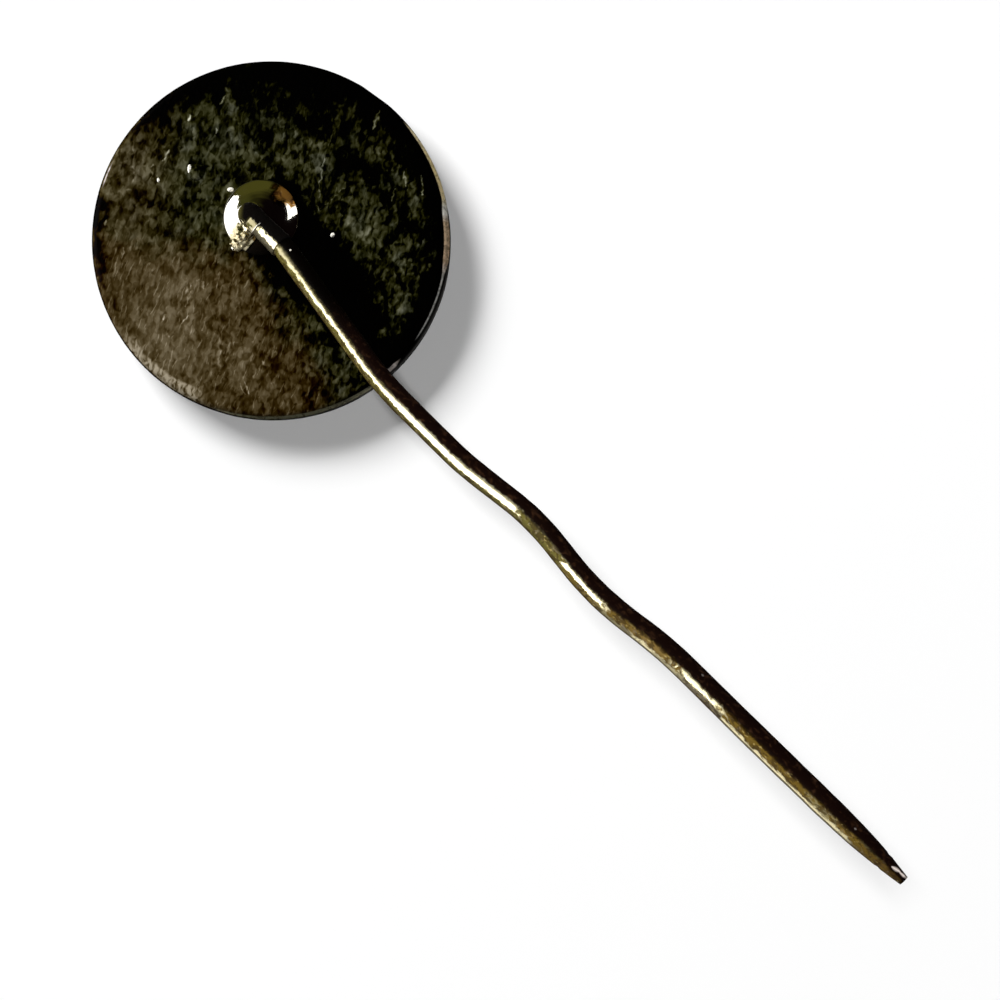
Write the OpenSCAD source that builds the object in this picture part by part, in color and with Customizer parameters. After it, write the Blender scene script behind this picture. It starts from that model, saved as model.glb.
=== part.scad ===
// Lapel pin: a round metal badge disc with a wire needle soldered to its back.
// It lies on its front face. The origin is the centre of that face, +Z points up
// through the disc's back, and the needle runs out over the rim towards -Y.

/* [Badge disc] */
// Outer diameter of the disc
disc_d = 18; // [14:0.5:24]
// Thickness of the disc
disc_t = 1.4; // [1.2:0.1:2.5]
// Radius of the rounded edge on the back
back_edge_r = 0.4; // [0.2:0.05:0.6]
// Radius of the eased edge on the front
front_edge_r = 0.2; // [0.1:0.05:0.4]
// Depth of the worn flat on the rim
flat_depth = 0.15; // [0.05:0.05:0.4]
// Where the worn flat lies on the rim, turned from +X
flat_at = 9; // [-90:1:90]

/* [Foot] */
// Diameter of the domed foot that carries the needle
foot_d = 3.75; // [3.2:0.05:5]
// Height of the dome over the disc's back
foot_h = 0.95; // [0.7:0.05:1.3]
// Place of the foot's centre across the disc
foot_x = 0.45; // [-1:0.05:1]
// Place of the foot's centre along the disc, away from the needle's tip
foot_y = 1.05; // [0:0.05:2]
// Thickness of the solder film between the foot and the disc
solder_film = 0.03; // [0.02:0.01:0.1]
// Radius of the lump of spare solder at the foot's side
lump_r = 0.55; // [0.4:0.05:0.7]
// Height of the solder collar round the needle's root, over the disc's back
collar_h = 1.25; // [1.1:0.05:1.5]

/* [Needle] */
// Diameter of the needle's wire
wire_d = 1.15; // [0.8:0.05:1.3]
// Height at which the needle's root starts to bend over, from the disc's back
root_rise = 1.1; // [1:0.05:1.6]
// Length of the straight end before the ground point
shank_l = 9.2; // [6:0.1:20]
// Length of the first, shallow part of the ground point
taper_l = 2.4; // [1:0.1:4]
// Length of the second, steeper part of the ground point
point_l = 1.8; // [1:0.1:4]
// Diameter where the two parts of the point meet
taper_d = 0.9; // [0.6:0.05:1]
// Diameter of the blunt tip
tip_d = 0.5; // [0.2:0.05:0.6]
// Growth of the wire's radius where it was bent
bend_swell = 0.005; // [0.004:0.001:0.01]

/* [Hidden] */
$fn = 96;

disc_r = disc_d / 2;
foot_r = foot_d / 2;
wire_r = wire_d / 2;

// The dome is the cap of a ball whose base circle has the foot's diameter.
dome_h = foot_h - solder_film;
dome_ball_r = (foot_r * foot_r + dome_h * dome_h) / (2 * dome_h);

// The wire leaves the foot a little to one side of the dome's centre.
root_x = foot_x - 0.3;
root_y = foot_y + 0.35;
root_foot = 0.4;
collar_base_r = wire_r + 0.4;
collar_top_r = wire_r + 0.08;

// The lump of solder sits on the dome's skirt, on the side away from +X.
lump_x = foot_x - 0.73 * foot_r;
lump_y = foot_y - 0.1 * foot_r;
lump_z = 0.28;
lump_base_cut = 2 * lump_r;

// Each straight run reaches this far into the bends at its two ends.
run_seat = 0.05;

// Each row of the bend table is one straight run and the bend that ends it.
// The side of a bend is told by looking along the wire from its root:
// 0 bends it towards the disc, 90 towards +X, 180 away from the disc and
// -90 towards -X. The first row is the root, and its bend is the elbow.
STRAIGHT = 0;
ANGLE = 1;
RADIUS = 2;
SIDE = 3;
BENDS = [
    [root_rise - root_foot, 80, 0.9, 0],
    [1.7, 8.8, 4, -90],
    [6.5, 9, 18, 90],
    [3, 7, 18, 105],
    [1.8, 13.5, 13, -85],
    [1.2, 15, 15, 85],
    [0.5, 8, 22, -80],
];

module disc_section() {
    square([disc_r - back_edge_r, disc_t]);
    square([disc_r - front_edge_r, disc_t - back_edge_r]);
    translate([0, front_edge_r])
        square([disc_r, disc_t - back_edge_r - front_edge_r]);
    translate([disc_r - back_edge_r, disc_t - back_edge_r])
        circle(r = back_edge_r);
    translate([disc_r - front_edge_r, front_edge_r])
        circle(r = front_edge_r);
}

module badge_disc() {
    color([0.16, 0.13, 0.1])
        difference() {
            rotate_extrude($fn = 180)
                disc_section();
            rotate([0, 0, flat_at])
                translate([disc_r - flat_depth, -disc_r, -disc_t])
                    cube([disc_r, disc_d, 3 * disc_t]);
        }
}

// Cap of a ball, standing on the solder film
module dome() {
    intersection() {
        translate([0, 0, foot_h - dome_ball_r])
            sphere(r = dome_ball_r);
        translate([0, 0, solder_film])
            cylinder(r = foot_r + 1, h = foot_h);
    }
}

module solder_lump() {
    difference() {
        translate([lump_x, lump_y, lump_z])
            sphere(r = lump_r, $fn = 48);
        translate([lump_x - lump_r, lump_y - lump_r, solder_film - lump_base_cut])
            cube(lump_base_cut);
    }
}

module solder_collar() {
    translate([root_x, root_y, root_foot])
        cylinder(r1 = collar_base_r, r2 = collar_top_r, h = collar_h - root_foot);
}

// One bend of the wire, from straight up towards +X
module wire_bend(angle, radius) {
    translate([radius, 0, 0])
        rotate([90, 0, 180])
            rotate_extrude(angle = angle, $fn = 180)
                translate([radius, 0])
                    circle(r = wire_r + bend_swell, $fn = 48);
}

// Moves what follows to the end of such a bend
module after_bend(angle, radius) {
    translate([radius * (1 - cos(angle)), 0, radius * sin(angle)])
        rotate([0, angle, 0])
            children();
}

module straight_run(length) {
    translate([0, 0, -run_seat])
        cylinder(r = wire_r, h = length + 2 * run_seat, $fn = 48);
}

module ground_point() {
    cylinder(d1 = wire_d, d2 = taper_d, h = taper_l, $fn = 48);
    translate([0, 0, taper_l])
        cylinder(d1 = taper_d, d2 = tip_d, h = point_l, $fn = 48);
}

// The wire from row i of the bend table to its tip, starting straight up
module wire_from(i) {
    if (i < len(BENDS)) {
        row = BENDS[i];
        straight_run(row[STRAIGHT]);
        translate([0, 0, row[STRAIGHT]])
            rotate([0, 0, row[SIDE]]) {
                wire_bend(row[ANGLE], row[RADIUS]);
                after_bend(row[ANGLE], row[RADIUS])
                    rotate([0, 0, -row[SIDE]])
                        wire_from(i + 1);
            }
    } else {
        translate([0, 0, -run_seat])
            cylinder(r = wire_r, h = shank_l + run_seat, $fn = 48);
        translate([0, 0, shank_l])
            ground_point();
    }
}

module needle() {
    color([0.62, 0.5, 0.24])
        translate([0, 0, disc_t]) {
            translate([foot_x, foot_y, 0])
                dome();
            solder_lump();
            solder_collar();
            translate([root_x, root_y, root_foot])
                rotate([0, 0, -90])
                    wire_from(0);
        }
}

badge_disc();
needle();
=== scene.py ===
# %% [markdown]
# # An old lapel pin, seen from its back
# The pin lies face down: a round metal badge disc with a dark patina, a small shiny
# foot of solder near its middle, and a brass needle that leaves the foot through an
# elbow and runs out over the rim. The solids that carry it are already made, so this
# lesson dresses them: each piece is modelled again with its dents, lumps and kinks,
# and gets a finish made of shader nodes.

# %% Load the frame
import math
import bmesh
import bpy
from mathutils import Matrix, Vector
from mathutils.bvhtree import BVHTree
from mathutils.kdtree import KDTree


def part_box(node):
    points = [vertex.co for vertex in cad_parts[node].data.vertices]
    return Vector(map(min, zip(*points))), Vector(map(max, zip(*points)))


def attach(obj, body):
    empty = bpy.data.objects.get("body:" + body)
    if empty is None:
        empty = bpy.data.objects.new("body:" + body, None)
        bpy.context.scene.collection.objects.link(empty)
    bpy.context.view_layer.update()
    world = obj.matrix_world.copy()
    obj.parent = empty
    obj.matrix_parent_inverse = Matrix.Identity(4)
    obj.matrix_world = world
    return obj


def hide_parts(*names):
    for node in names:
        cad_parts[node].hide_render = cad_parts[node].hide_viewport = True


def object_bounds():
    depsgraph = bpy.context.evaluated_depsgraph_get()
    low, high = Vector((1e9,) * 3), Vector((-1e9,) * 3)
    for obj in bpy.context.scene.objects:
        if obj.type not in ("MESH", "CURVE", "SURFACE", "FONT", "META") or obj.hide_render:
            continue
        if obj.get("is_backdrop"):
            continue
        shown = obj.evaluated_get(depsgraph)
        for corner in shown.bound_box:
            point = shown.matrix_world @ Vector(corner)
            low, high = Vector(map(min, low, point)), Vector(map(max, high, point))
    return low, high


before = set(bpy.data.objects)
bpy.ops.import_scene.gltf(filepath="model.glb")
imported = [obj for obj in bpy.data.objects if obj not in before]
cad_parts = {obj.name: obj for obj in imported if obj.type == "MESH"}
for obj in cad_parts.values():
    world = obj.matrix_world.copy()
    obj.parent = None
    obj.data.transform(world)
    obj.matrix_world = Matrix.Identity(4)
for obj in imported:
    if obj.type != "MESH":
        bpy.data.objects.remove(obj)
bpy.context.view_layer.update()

# %% [markdown]
# Sizes come from the frame wherever it knows them. The disc's box gives its radius and
# the height of its back. Everything below is in metres, so a short name for a
# millimetre keeps the numbers readable.

# %% Sizes
MM = 0.001
disc_low, disc_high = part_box("badge_disc")
disc_r = -disc_low.x
disc_top = disc_high.z
print("disc radius and height in mm:", round(disc_r / MM, 2), round(disc_top / MM, 2))

# %% [markdown]
# ## Camera and light
# The pin was photographed from straight above and close by, with the needle running to
# the lower right. The camera therefore looks down the Z axis and is turned by 45
# degrees. Close by matters: the needle's far end stands nearer to the lens than the
# disc, so it looks thicker, and a longer lens from further off would lose that.

# %% Camera
PICTURE_PX = 1000
PX_PER_MM = 20.06
CAMERA_HEIGHT = 100 * MM
CAMERA_TURN = math.radians(-45)
AIM_X, AIM_Y = -1.08 * MM, -17.27 * MM
SENSOR_MM = 36

camera_data = bpy.data.cameras.new("camera")
camera = bpy.data.objects.new("camera", camera_data)
bpy.context.scene.collection.objects.link(camera)
camera.location = (AIM_X, AIM_Y, disc_top + CAMERA_HEIGHT)
camera.rotation_euler = (0, 0, CAMERA_TURN)
camera_data.sensor_width = SENSOR_MM
camera_data.lens = SENSOR_MM * PX_PER_MM * (CAMERA_HEIGHT / MM) / PICTURE_PX
camera_data.clip_start = 1 * MM
bpy.context.scene.camera = camera
print("lens in mm:", round(camera_data.lens, 1))

# %% [markdown]
# Polished metal shows what stands around it, so the lights are chosen for what they
# draw on the pin. A large soft panel on the left draws the white crescent on the foot
# and the bright line along the needle. One at the lower left makes that line wider, and
# a narrow one on the right draws the short highlight on the foot's other side. These
# three stand close by and don't light matt surfaces. Two lamps further off do, and
# aren't mirrored in the metal: one at the upper left lights the floor and throws the
# disc's soft shadow to the lower right, and one nearly overhead gives the needle its own
# faint shadow. A panel's power follows from how bright its face should look, where 1
# is white paper.

# %% Soft panels
VIEW_RIGHT = Vector((1, -1, 0)).normalized()
VIEW_UP = Vector((1, 1, 0)).normalized()
FOOT_PLACE = Vector((0.45 * MM, 1.05 * MM, disc_top))


def towards(azimuth, elevation):
    """Direction by its angle in the picture and its angle over the floor."""
    turn, lift = math.radians(azimuth), math.radians(elevation)
    flat = VIEW_RIGHT * math.cos(turn) + VIEW_UP * math.sin(turn)
    return flat * math.cos(lift) + Vector((0, 0, math.sin(lift)))


def soft_panel(name, azimuth, elevation, distance, width, height, brightness, shape="RECTANGLE"):
    """A soft panel that faces the foot; its power comes from its brightness."""
    data = bpy.data.lights.new(name, "AREA")
    data.shape = shape
    data.size, data.size_y = width, height
    area = width * height * (math.pi / 4 if shape == "ELLIPSE" else 1)
    data.energy = brightness * math.pi * area
    panel = bpy.data.objects.new(name, data)
    bpy.context.scene.collection.objects.link(panel)
    way = towards(azimuth, elevation)
    panel.location = FOOT_PLACE + way * distance
    panel.rotation_euler = way.to_track_quat("Z", "Y").to_euler()
    print(name, "stands at", [round(v, 3) for v in panel.location])
    return panel


# %% The five lights
# Name, angle in the picture, angle over the floor, distance, width, height, brightness.
left_panel = soft_panel("left_panel", 181, 27, 0.3, 0.56, 0.36, 2.4, "ELLIPSE")
front_panel = soft_panel("front_panel", 217, 39, 0.3, 0.23, 0.32, 1.7)
right_panel = soft_panel("right_panel", 25, 30, 0.3, 0.13, 0.30, 2.4)
floor_lamp = soft_panel("floor_lamp", 132, 23, 3.2, 1.70, 0.80, 50.5)
top_lamp = soft_panel("top_lamp", 130, 74, 1.6, 0.26, 0.26, 40.5)
for panel in (left_panel, front_panel, right_panel):
    panel.visible_diffuse = False
for lamp in (floor_lamp, top_lamp):
    lamp.visible_glossy = False

# %% [markdown]
# The surroundings differ by what looks at them. Matt surfaces see a dim even grey, which
# fills the shadows a little. The polished metal sees a dark room with four glows: two dim
# olive ones from above, and two of the pale table, low at the lower left and the lower
# right. The camera sees a pale backdrop where a low view looks past the floor's edge.

# %% World: its values
AMBIENT = 0.03
BACKDROP = 0.80
PLAIN_GREY = (0.8, 0.8, 0.8, 1)
ROOM = (0.002, 0.0008, 0.0008, 1)
# Each row: angle in the picture, angle over the floor, how far from there in degrees the
# glow is full and how far it reaches, and its colour.
GLOWS = [
    (106, 22, 20, 46, (0.056, 0.055, 0.009)),
    (158, 62, 6, 24, (0.034, 0.036, 0.006)),
    (228, -10, 16, 24, (1.05, 1.00, 0.95)),
    (-28, -38, 26, 34, (0.85, 0.82, 0.76)),
]

world = bpy.data.worlds.new("studio")
bpy.context.scene.world = world
world.use_nodes = True
w_nodes, w_links = world.node_tree.nodes, world.node_tree.links
w_nodes.clear()


def background(colour, strength=1.0):
    """A Background node."""
    made = w_nodes.new("ShaderNodeBackground")
    made.inputs["Color"].default_value = colour
    made.inputs["Strength"].default_value = strength
    return made


def cosine(degrees):
    """The cosine of an angle in degrees."""
    return math.cos(math.radians(degrees))


# %% World: glows
w_way = w_nodes.new("ShaderNodeTexCoord").outputs["Generated"]
w_room = background(ROOM).outputs[0]
for azimuth, elevation, inner, outer, tint in GLOWS:
    w_near = w_nodes.new("ShaderNodeVectorMath")
    w_near.operation = "DOT_PRODUCT"
    w_near.inputs[1].default_value = towards(azimuth, elevation)
    w_ramp = w_nodes.new("ShaderNodeMapRange")
    w_ramp.interpolation_type = "SMOOTHSTEP"
    w_ramp.inputs["From Min"].default_value = cosine(outer)
    w_ramp.inputs["From Max"].default_value = cosine(inner)
    w_glow = background((*tint, 1))
    w_add = w_nodes.new("ShaderNodeAddShader")
    w_links.new(w_way, w_near.inputs[0])
    w_links.new(w_near.outputs["Value"], w_ramp.inputs["Value"])
    w_links.new(w_ramp.outputs["Result"], w_glow.inputs["Strength"])
    w_links.new(w_room, w_add.inputs[0])
    w_links.new(w_glow.outputs[0], w_add.inputs[1])
    w_room = w_add.outputs[0]
print("the room has", len(GLOWS), "glows")

# %% World: what each kind of ray sees
w_path = w_nodes.new("ShaderNodeLightPath")
w_seen = background(PLAIN_GREY, AMBIENT).outputs[0]
w_backdrop = background(PLAIN_GREY, BACKDROP).outputs[0]
for ray, view in (("Is Glossy Ray", w_room), ("Is Camera Ray", w_backdrop)):
    w_mix = w_nodes.new("ShaderNodeMixShader")
    w_links.new(w_path.outputs[ray], w_mix.inputs[0])
    w_links.new(w_seen, w_mix.inputs[1])
    w_links.new(view, w_mix.inputs[2])
    w_seen = w_mix.outputs[0]
w_links.new(w_seen, w_nodes.new("ShaderNodeOutputWorld").inputs[0])
world.cycles.sampling_method = "NONE"
bpy.context.scene.view_settings.view_transform = "Standard"
print("the world has", len(w_nodes), "nodes")

# %% [markdown]
# The floor is a plain matt sheet, wide enough for the low views, and isn't mirrored in
# the metal.

# %% Floor
FLOOR_HALF = 1.5
FLOOR_PALE = (0.9, 0.9, 0.9, 1)
bpy.ops.object.select_all(action="DESELECT")
bpy.ops.mesh.primitive_plane_add(size=2 * FLOOR_HALF, location=(0, 0, 0))
floor = bpy.context.object
floor.name = "floor"
floor_paint = bpy.data.materials.new("floor_paint")
floor_paint.use_nodes = True
floor_shader = floor_paint.node_tree.nodes["Principled BSDF"]
floor_shader.inputs["Base Color"].default_value = FLOOR_PALE
floor_shader.inputs["Roughness"].default_value = 1.0
floor_shader.inputs["Specular IOR Level"].default_value = 0.0
floor.data.materials.append(floor_paint)
floor.visible_glossy = False
floor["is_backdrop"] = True
print("floor", 2 * FLOOR_HALF, "m wide")

# %% [markdown]
# ## Modelling helpers
# Edit-mode operators act on what is selected, so each step starts from nothing
# selected and picks faces or edges by their place. Small helpers do that, and others
# put a piece's place into its mesh and join parts into one piece.

# %% Selecting by place
def start_piece(name):
    """Names the primitive just added and goes into edit mode with nothing selected."""
    piece = bpy.context.object
    piece.name = piece.data.name = name
    bpy.ops.object.mode_set(mode="EDIT")
    bpy.ops.mesh.select_all(action="DESELECT")
    return piece


def pick(piece, mode, test):
    """Selects the edges or faces whose middle passes the test."""
    bpy.ops.mesh.select_mode(type=mode)
    bpy.ops.mesh.select_all(action="DESELECT")
    shape = bmesh.from_edit_mesh(piece.data)
    if mode == "EDGE":
        middles = [(edge, (edge.verts[0].co + edge.verts[1].co) / 2) for edge in shape.edges]
    else:
        middles = [(face, face.calc_center_median()) for face in shape.faces]
    picked = [item for item, middle in middles if test(middle)]
    for item in picked:
        item.select_set(True)
    shape.select_flush_mode()
    bmesh.update_edit_mesh(piece.data)
    print(piece.name + ": picked", len(picked), "items in", mode.lower(), "mode")


# %% Finishing a piece
def apply_place():
    """Puts the active object's place, turn and size into its mesh."""
    bpy.ops.object.transform_apply(location=True, rotation=True, scale=True)


def close_piece():
    """Turns all faces outwards and leaves edit mode."""
    bpy.ops.mesh.select_all(action="SELECT")
    bpy.ops.mesh.normals_make_consistent(inside=False)
    bpy.ops.object.mode_set(mode="OBJECT")


def join_parts(parts, name):
    """Joins objects into one piece."""
    bpy.ops.object.select_all(action="DESELECT")
    for part in parts:
        part.select_set(True)
    bpy.context.view_layer.objects.active = parts[0]
    bpy.ops.object.join()
    piece = bpy.context.object
    piece.name = piece.data.name = name
    return piece


def settle(piece):
    """Leaves edit mode, puts the piece's place into its mesh and smooths its shading."""
    if bpy.context.mode == "EDIT_MESH":
        bpy.ops.object.mode_set(mode="OBJECT")
    bpy.ops.object.select_all(action="DESELECT")
    piece.select_set(True)
    bpy.context.view_layer.objects.active = piece
    apply_place()
    bpy.ops.object.shade_smooth()
    print(piece.name, "has", len(piece.data.polygons), "faces")


def apply_modifier(piece, kind, name, **values):
    """Adds one modifier, sets it and applies it."""
    bpy.context.view_layer.objects.active = piece
    modifier = piece.modifiers.new(name, kind)
    for key, value in values.items():
        setattr(modifier, key, value)
    bpy.ops.object.modifier_apply(modifier=modifier.name)


# %% [markdown]
# ## The badge disc
# The disc was stamped from sheet metal, its edge rounded over towards the back, and
# decades of wear left a flat on the rim and a face that is no longer quite even. It
# starts as a cylinder. Its two rims are bevelled, the back is inset ring by ring so
# that it has points to move, and a bisect cuts the worn flat.

# %% Disc: cylinder, bevels and rings
BACK_EDGE_R = 0.4 * MM
FRONT_EDGE_R = 0.2 * MM
DISC_SIDES = 256
SKIN = 0.012 * MM
RING_STEP = 0.5 * MM
RINGS = 16

bpy.ops.object.select_all(action="DESELECT")
bpy.ops.mesh.primitive_cylinder_add(
    vertices=DISC_SIDES, radius=disc_r - SKIN, depth=disc_top - SKIN,
    location=(0, 0, disc_top / 2))
disc_plate = start_piece("disc_plate")
half_t = (disc_top - SKIN) / 2
near, level = 0.01 * MM, 0.001 * MM
pick(disc_plate, "EDGE", lambda p: p.z > half_t - near)
bpy.ops.mesh.bevel(offset=BACK_EDGE_R, segments=8, affect="EDGES")
pick(disc_plate, "EDGE", lambda p: p.z < -half_t + near)
bpy.ops.mesh.bevel(offset=FRONT_EDGE_R, segments=5, affect="EDGES")
pick(disc_plate, "FACE", lambda p: p.z > half_t - level)
for ring in range(RINGS):
    bpy.ops.mesh.inset(thickness=RING_STEP)
bpy.ops.mesh.poke()
pick(disc_plate, "FACE", lambda p: p.z < -half_t + level)
for ring in range(3):
    bpy.ops.mesh.inset(thickness=4 * RING_STEP)
bpy.ops.mesh.poke()

# %% [markdown]
# The worn flat lies to the right of the needle. The bisect throws away what is outside
# its plane and fills the cut.

# %% Disc: worn flat
FLAT_DEPTH = 0.15 * MM
FLAT_AT = math.radians(9)
flat_way = Vector((math.cos(FLAT_AT), math.sin(FLAT_AT), 0))

bpy.ops.mesh.select_mode(type="FACE")
bpy.ops.mesh.select_all(action="SELECT")
bpy.ops.mesh.bisect(
    plane_co=flat_way * (disc_r - FLAT_DEPTH), plane_no=flat_way,
    use_fill=True, clear_outer=True)
settle(disc_plate)

# %% [markdown]
# Stamped sheet is never flat to the last hundredth of a millimetre. Two displace
# modifiers with cloud noise, one broad and one fine, press shallow hollows into the
# metal. They only press inwards, so the piece stays within the frame's box.

# %% Disc: uneven face
def clouds(name, size, depth):
    """Cloud noise for a displace modifier."""
    noise = bpy.data.textures.new(name, "CLOUDS")
    noise.noise_scale = size
    noise.noise_depth = depth
    return noise


apply_modifier(disc_plate, "DISPLACE", "broad_hollows", texture=clouds("broad", 2.5 * MM, 1),
               texture_coords="LOCAL", strength=-0.02 * MM, mid_level=0.0)
apply_modifier(disc_plate, "DISPLACE", "fine_hollows", texture=clouds("fine", 0.5 * MM, 2),
               texture_coords="LOCAL", strength=-0.012 * MM, mid_level=0.0)
print("disc_plate height in mm:", round(disc_plate.dimensions.z / MM, 3))

# %% [markdown]
# ## The needle
# The real needle is one length of brass wire, bent by hand. The model is bent the same
# way: a circle of points is pushed along each straight run and turned a little at a
# time through each bend. The bend table is the one that the frame was built from, so
# the wire lies where the solid needle lies.

# %% Bend table
WIRE_R = 0.575 * MM
ROOT = Vector((0.15, 1.4, disc_top / MM + 0.4)) * MM
WIRE_SIDES = 40

# Each row: straight run in mm, bend angle in degrees, bend radius in mm, side of the
# bend in degrees, where 0 is towards the disc and 90 towards +X.
BENDS = [
    (0.7, 80, 0.9, 0),
    (1.7, 8.8, 4, -90),
    (6.5, 9, 18, 90),
    (3, 7, 18, 105),
    (1.8, 13.5, 13, -85),
    (1.2, 15, 15, 85),
    (0.5, 8, 22, -80),
]
SHANK_RUN = 9.2
POINT_RUN = 4.2
RUN_STEP = 0.16
BEND_STEP = 0.12
print("bends in the wire:", len(BENDS))


# %% [markdown]
# The wire is walked from its root. A place and a turn are carried along: a straight run
# moves the place on, and a bend swings both round its own centre. A station is noted at
# each small step.

# %% Stations along the wire
def wire_stations():
    """Centre and direction of the wire at small steps from its root to its tip."""
    turn = Matrix.Rotation(math.radians(-90), 3, "Z")
    place = ROOT.copy()
    stations = [(place.copy(), turn.copy())]
    rows = BENDS + [(SHANK_RUN + POINT_RUN, 0, 1, 0)]
    for run, angle, radius, side in rows:
        steps = max(1, round(run / RUN_STEP))
        for step in range(steps):
            place = place + turn @ Vector((0, 0, run * MM / steps))
            stations.append((place.copy(), turn.copy()))
        if not angle:
            continue
        side_turn = Matrix.Rotation(math.radians(side), 3, "Z")
        steps = max(2, round(math.radians(angle) * radius / BEND_STEP))
        first_place, first_turn = place.copy(), turn @ side_turn
        for step in range(1, steps + 1):
            a = math.radians(angle) * step / steps
            reach = Vector((radius * (1 - math.cos(a)), 0, radius * math.sin(a))) * MM
            place = first_place + first_turn @ reach
            turn = first_turn @ Matrix.Rotation(a, 3, "Y") @ side_turn.inverted()
            stations.append((place.copy(), turn.copy()))
    return stations


stations = wire_stations()
# The straight end bows a little to one side between these places along Y.
BOW_FROM, BOW_TO, BOW = -26 * MM, -41 * MM, 0.05 * MM
for place, turn in stations:
    if BOW_TO < place.y < BOW_FROM:
        place.x -= BOW * math.sin(math.pi * (place.y - BOW_FROM) / (BOW_TO - BOW_FROM))
lengths = [0.0]
for before, after in zip(stations, stations[1:]):
    lengths.append(lengths[-1] + (after[0] - before[0]).length)
wire_length = lengths[-1]
print("wire:", len(stations), "stations,", round(wire_length / MM, 1), "mm long")

# %% [markdown]
# The wire isn't perfectly even: pliers pinched it where the solder ends, it is a little
# fuller in its far half, and its end was ground to a blunt point with a nick in it. A
# radius function tells how thick it is at each station.

# %% Thickness along the wire
ELBOW_RUN, ELBOW_ANGLE, ELBOW_RADIUS = BENDS[0][:3]
ELBOW_END = ELBOW_RUN * MM + math.radians(ELBOW_ANGLE) * ELBOW_RADIUS * MM
SLEEVE_END = ELBOW_END + 1.85 * MM
POINT_START = wire_length - POINT_RUN * MM
# Each row: distance in mm from where the grinding starts, radius in mm.
PROFILE = [
    (0.0, 0.59), (1.2, 0.555), (2.2, 0.48), (2.9, 0.42), (3.5, 0.338), (4.0, 0.268),
    (4.2, 0.24),
]
FULL_MIDDLE, FULL_REACH, FULLER = wire_length - 9.5 * MM, 10 * MM, 0.04 * MM
PINCH, PINCH_WIDTH = 0.045 * MM, 0.28 * MM
NICK_PLACE, NICK, NICK_WIDTH = wire_length - 1.28 * MM, 0.035 * MM, 0.16 * MM
WORN_THINNER = 0.012 * MM


def point_radius(s):
    """Radius of the ground point, s metres from where the grinding starts."""
    for (s0, r0), (s1, r1) in zip(PROFILE, PROFILE[1:]):
        if s <= s1 * MM or s1 == PROFILE[-1][0]:
            share = min(1.0, (s - s0 * MM) / ((s1 - s0) * MM))
            return (r0 + (r1 - r0) * share) * MM
    return PROFILE[-1][1] * MM


def dip(s, at, width):
    """1 at the place and 0 further away than the width."""
    return max(0.0, 1 - abs(s - at) / width) ** 2


def wire_radius(s):
    """Radius of the wire s metres from its root."""
    wave = 0.004 * MM * math.sin(s / (1.9 * MM)) + 0.003 * MM * math.sin(s / (0.71 * MM) + 1)
    radius = WIRE_R - WORN_THINNER + wave
    radius -= PINCH * dip(s, SLEEVE_END, PINCH_WIDTH)
    if abs(s - FULL_MIDDLE) < FULL_REACH:
        radius += FULLER * math.cos(math.pi / 2 * (s - FULL_MIDDLE) / FULL_REACH)
    if s > POINT_START:
        radius = min(radius, point_radius(s - POINT_START))
    radius -= NICK * dip(s, NICK_PLACE, NICK_WIDTH)
    return radius


print("radius at the kink and the tip in mm:",
      round(wire_radius(SLEEVE_END) / MM, 3), round(wire_radius(wire_length) / MM, 3))

# %% [markdown]
# In edit mode the ring of points at the wire's end is extruded again and again. Each
# time it is moved one station on, turned to the wire's new direction and resized. The
# turn is made on the points themselves, because without a window the rotate operator
# turns the other way. A displace modifier then makes the drawn wire a little wavy.

# %% Needle: push the circle along
LEAST_TURN = 1e-5


def push_ring(step, turn_from, turn_to, centre, factor):
    """One extrude of the selected ring: move it, turn it and set its size."""
    bpy.ops.mesh.extrude_region_move(TRANSFORM_OT_translate={"value": step})
    change = (turn_to @ turn_from.inverted()).to_quaternion()
    if change.to_axis_angle()[1] > LEAST_TURN:
        shape = bmesh.from_edit_mesh(bpy.context.object.data)
        ring = [v for v in shape.verts if v.select]
        bmesh.ops.rotate(shape, verts=ring, cent=centre, matrix=change.to_matrix())
        bmesh.update_edit_mesh(bpy.context.object.data)
    bpy.ops.transform.resize(value=(factor,) * 3, center_override=centre)


def bend_wire(name, first, last, radius_at):
    """A tube along the stations from first to last, closed at both ends."""
    place, turn = stations[first]
    bpy.ops.object.select_all(action="DESELECT")
    bpy.ops.mesh.primitive_circle_add(
        vertices=WIRE_SIDES, radius=radius_at(lengths[first]), fill_type="NGON",
        location=place, rotation=turn.to_euler())
    apply_place()
    piece = start_piece(name)
    bpy.ops.mesh.select_all(action="SELECT")
    for i in range(first + 1, last + 1):
        (p0, t0), (p1, t1) = stations[i - 1], stations[i]
        factor = radius_at(lengths[i]) / radius_at(lengths[i - 1])
        push_ring(p1 - p0, t0, t1, p1, factor)
    return piece


elbow_station = min(range(len(lengths)), key=lambda i: abs(lengths[i] - ELBOW_END))
needle_wire = bend_wire("needle_wire", elbow_station - 1, len(stations) - 1, wire_radius)
bpy.ops.mesh.inset(thickness=0.05 * MM)
close_piece()
apply_modifier(needle_wire, "DISPLACE", "waves", texture=clouds("waves", 0.9 * MM, 1),
               texture_coords="LOCAL", strength=0.024 * MM, mid_level=0.5)
settle(needle_wire)

# %% [markdown]
# ## The foot
# The needle's foot is a flattish button of solder over the wire's turned-down end. On
# one side spare solder ran down from the wire in lumps and stopped at a sharp edge.
# Solder flows into soft joined shapes, so the button, the lumps and the elbow are put
# down as overlapping shapes and then remeshed into one skin and smoothed.

# %% Foot: button
# Each row is one ring of the button: its radius and its height over the disc in mm.
BUTTON = [
    (1.86, -0.03), (1.872, 0.10), (1.874, 0.42), (1.86, 0.458), (1.80, 0.518), (1.70, 0.596),
    (1.55, 0.686), (1.40, 0.753), (1.25, 0.802), (1.10, 0.839), (0.90, 0.878), (0.60, 0.917),
    (0.30, 0.938),
]
FOOT_TOP = 0.95
foot_parts = []

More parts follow.
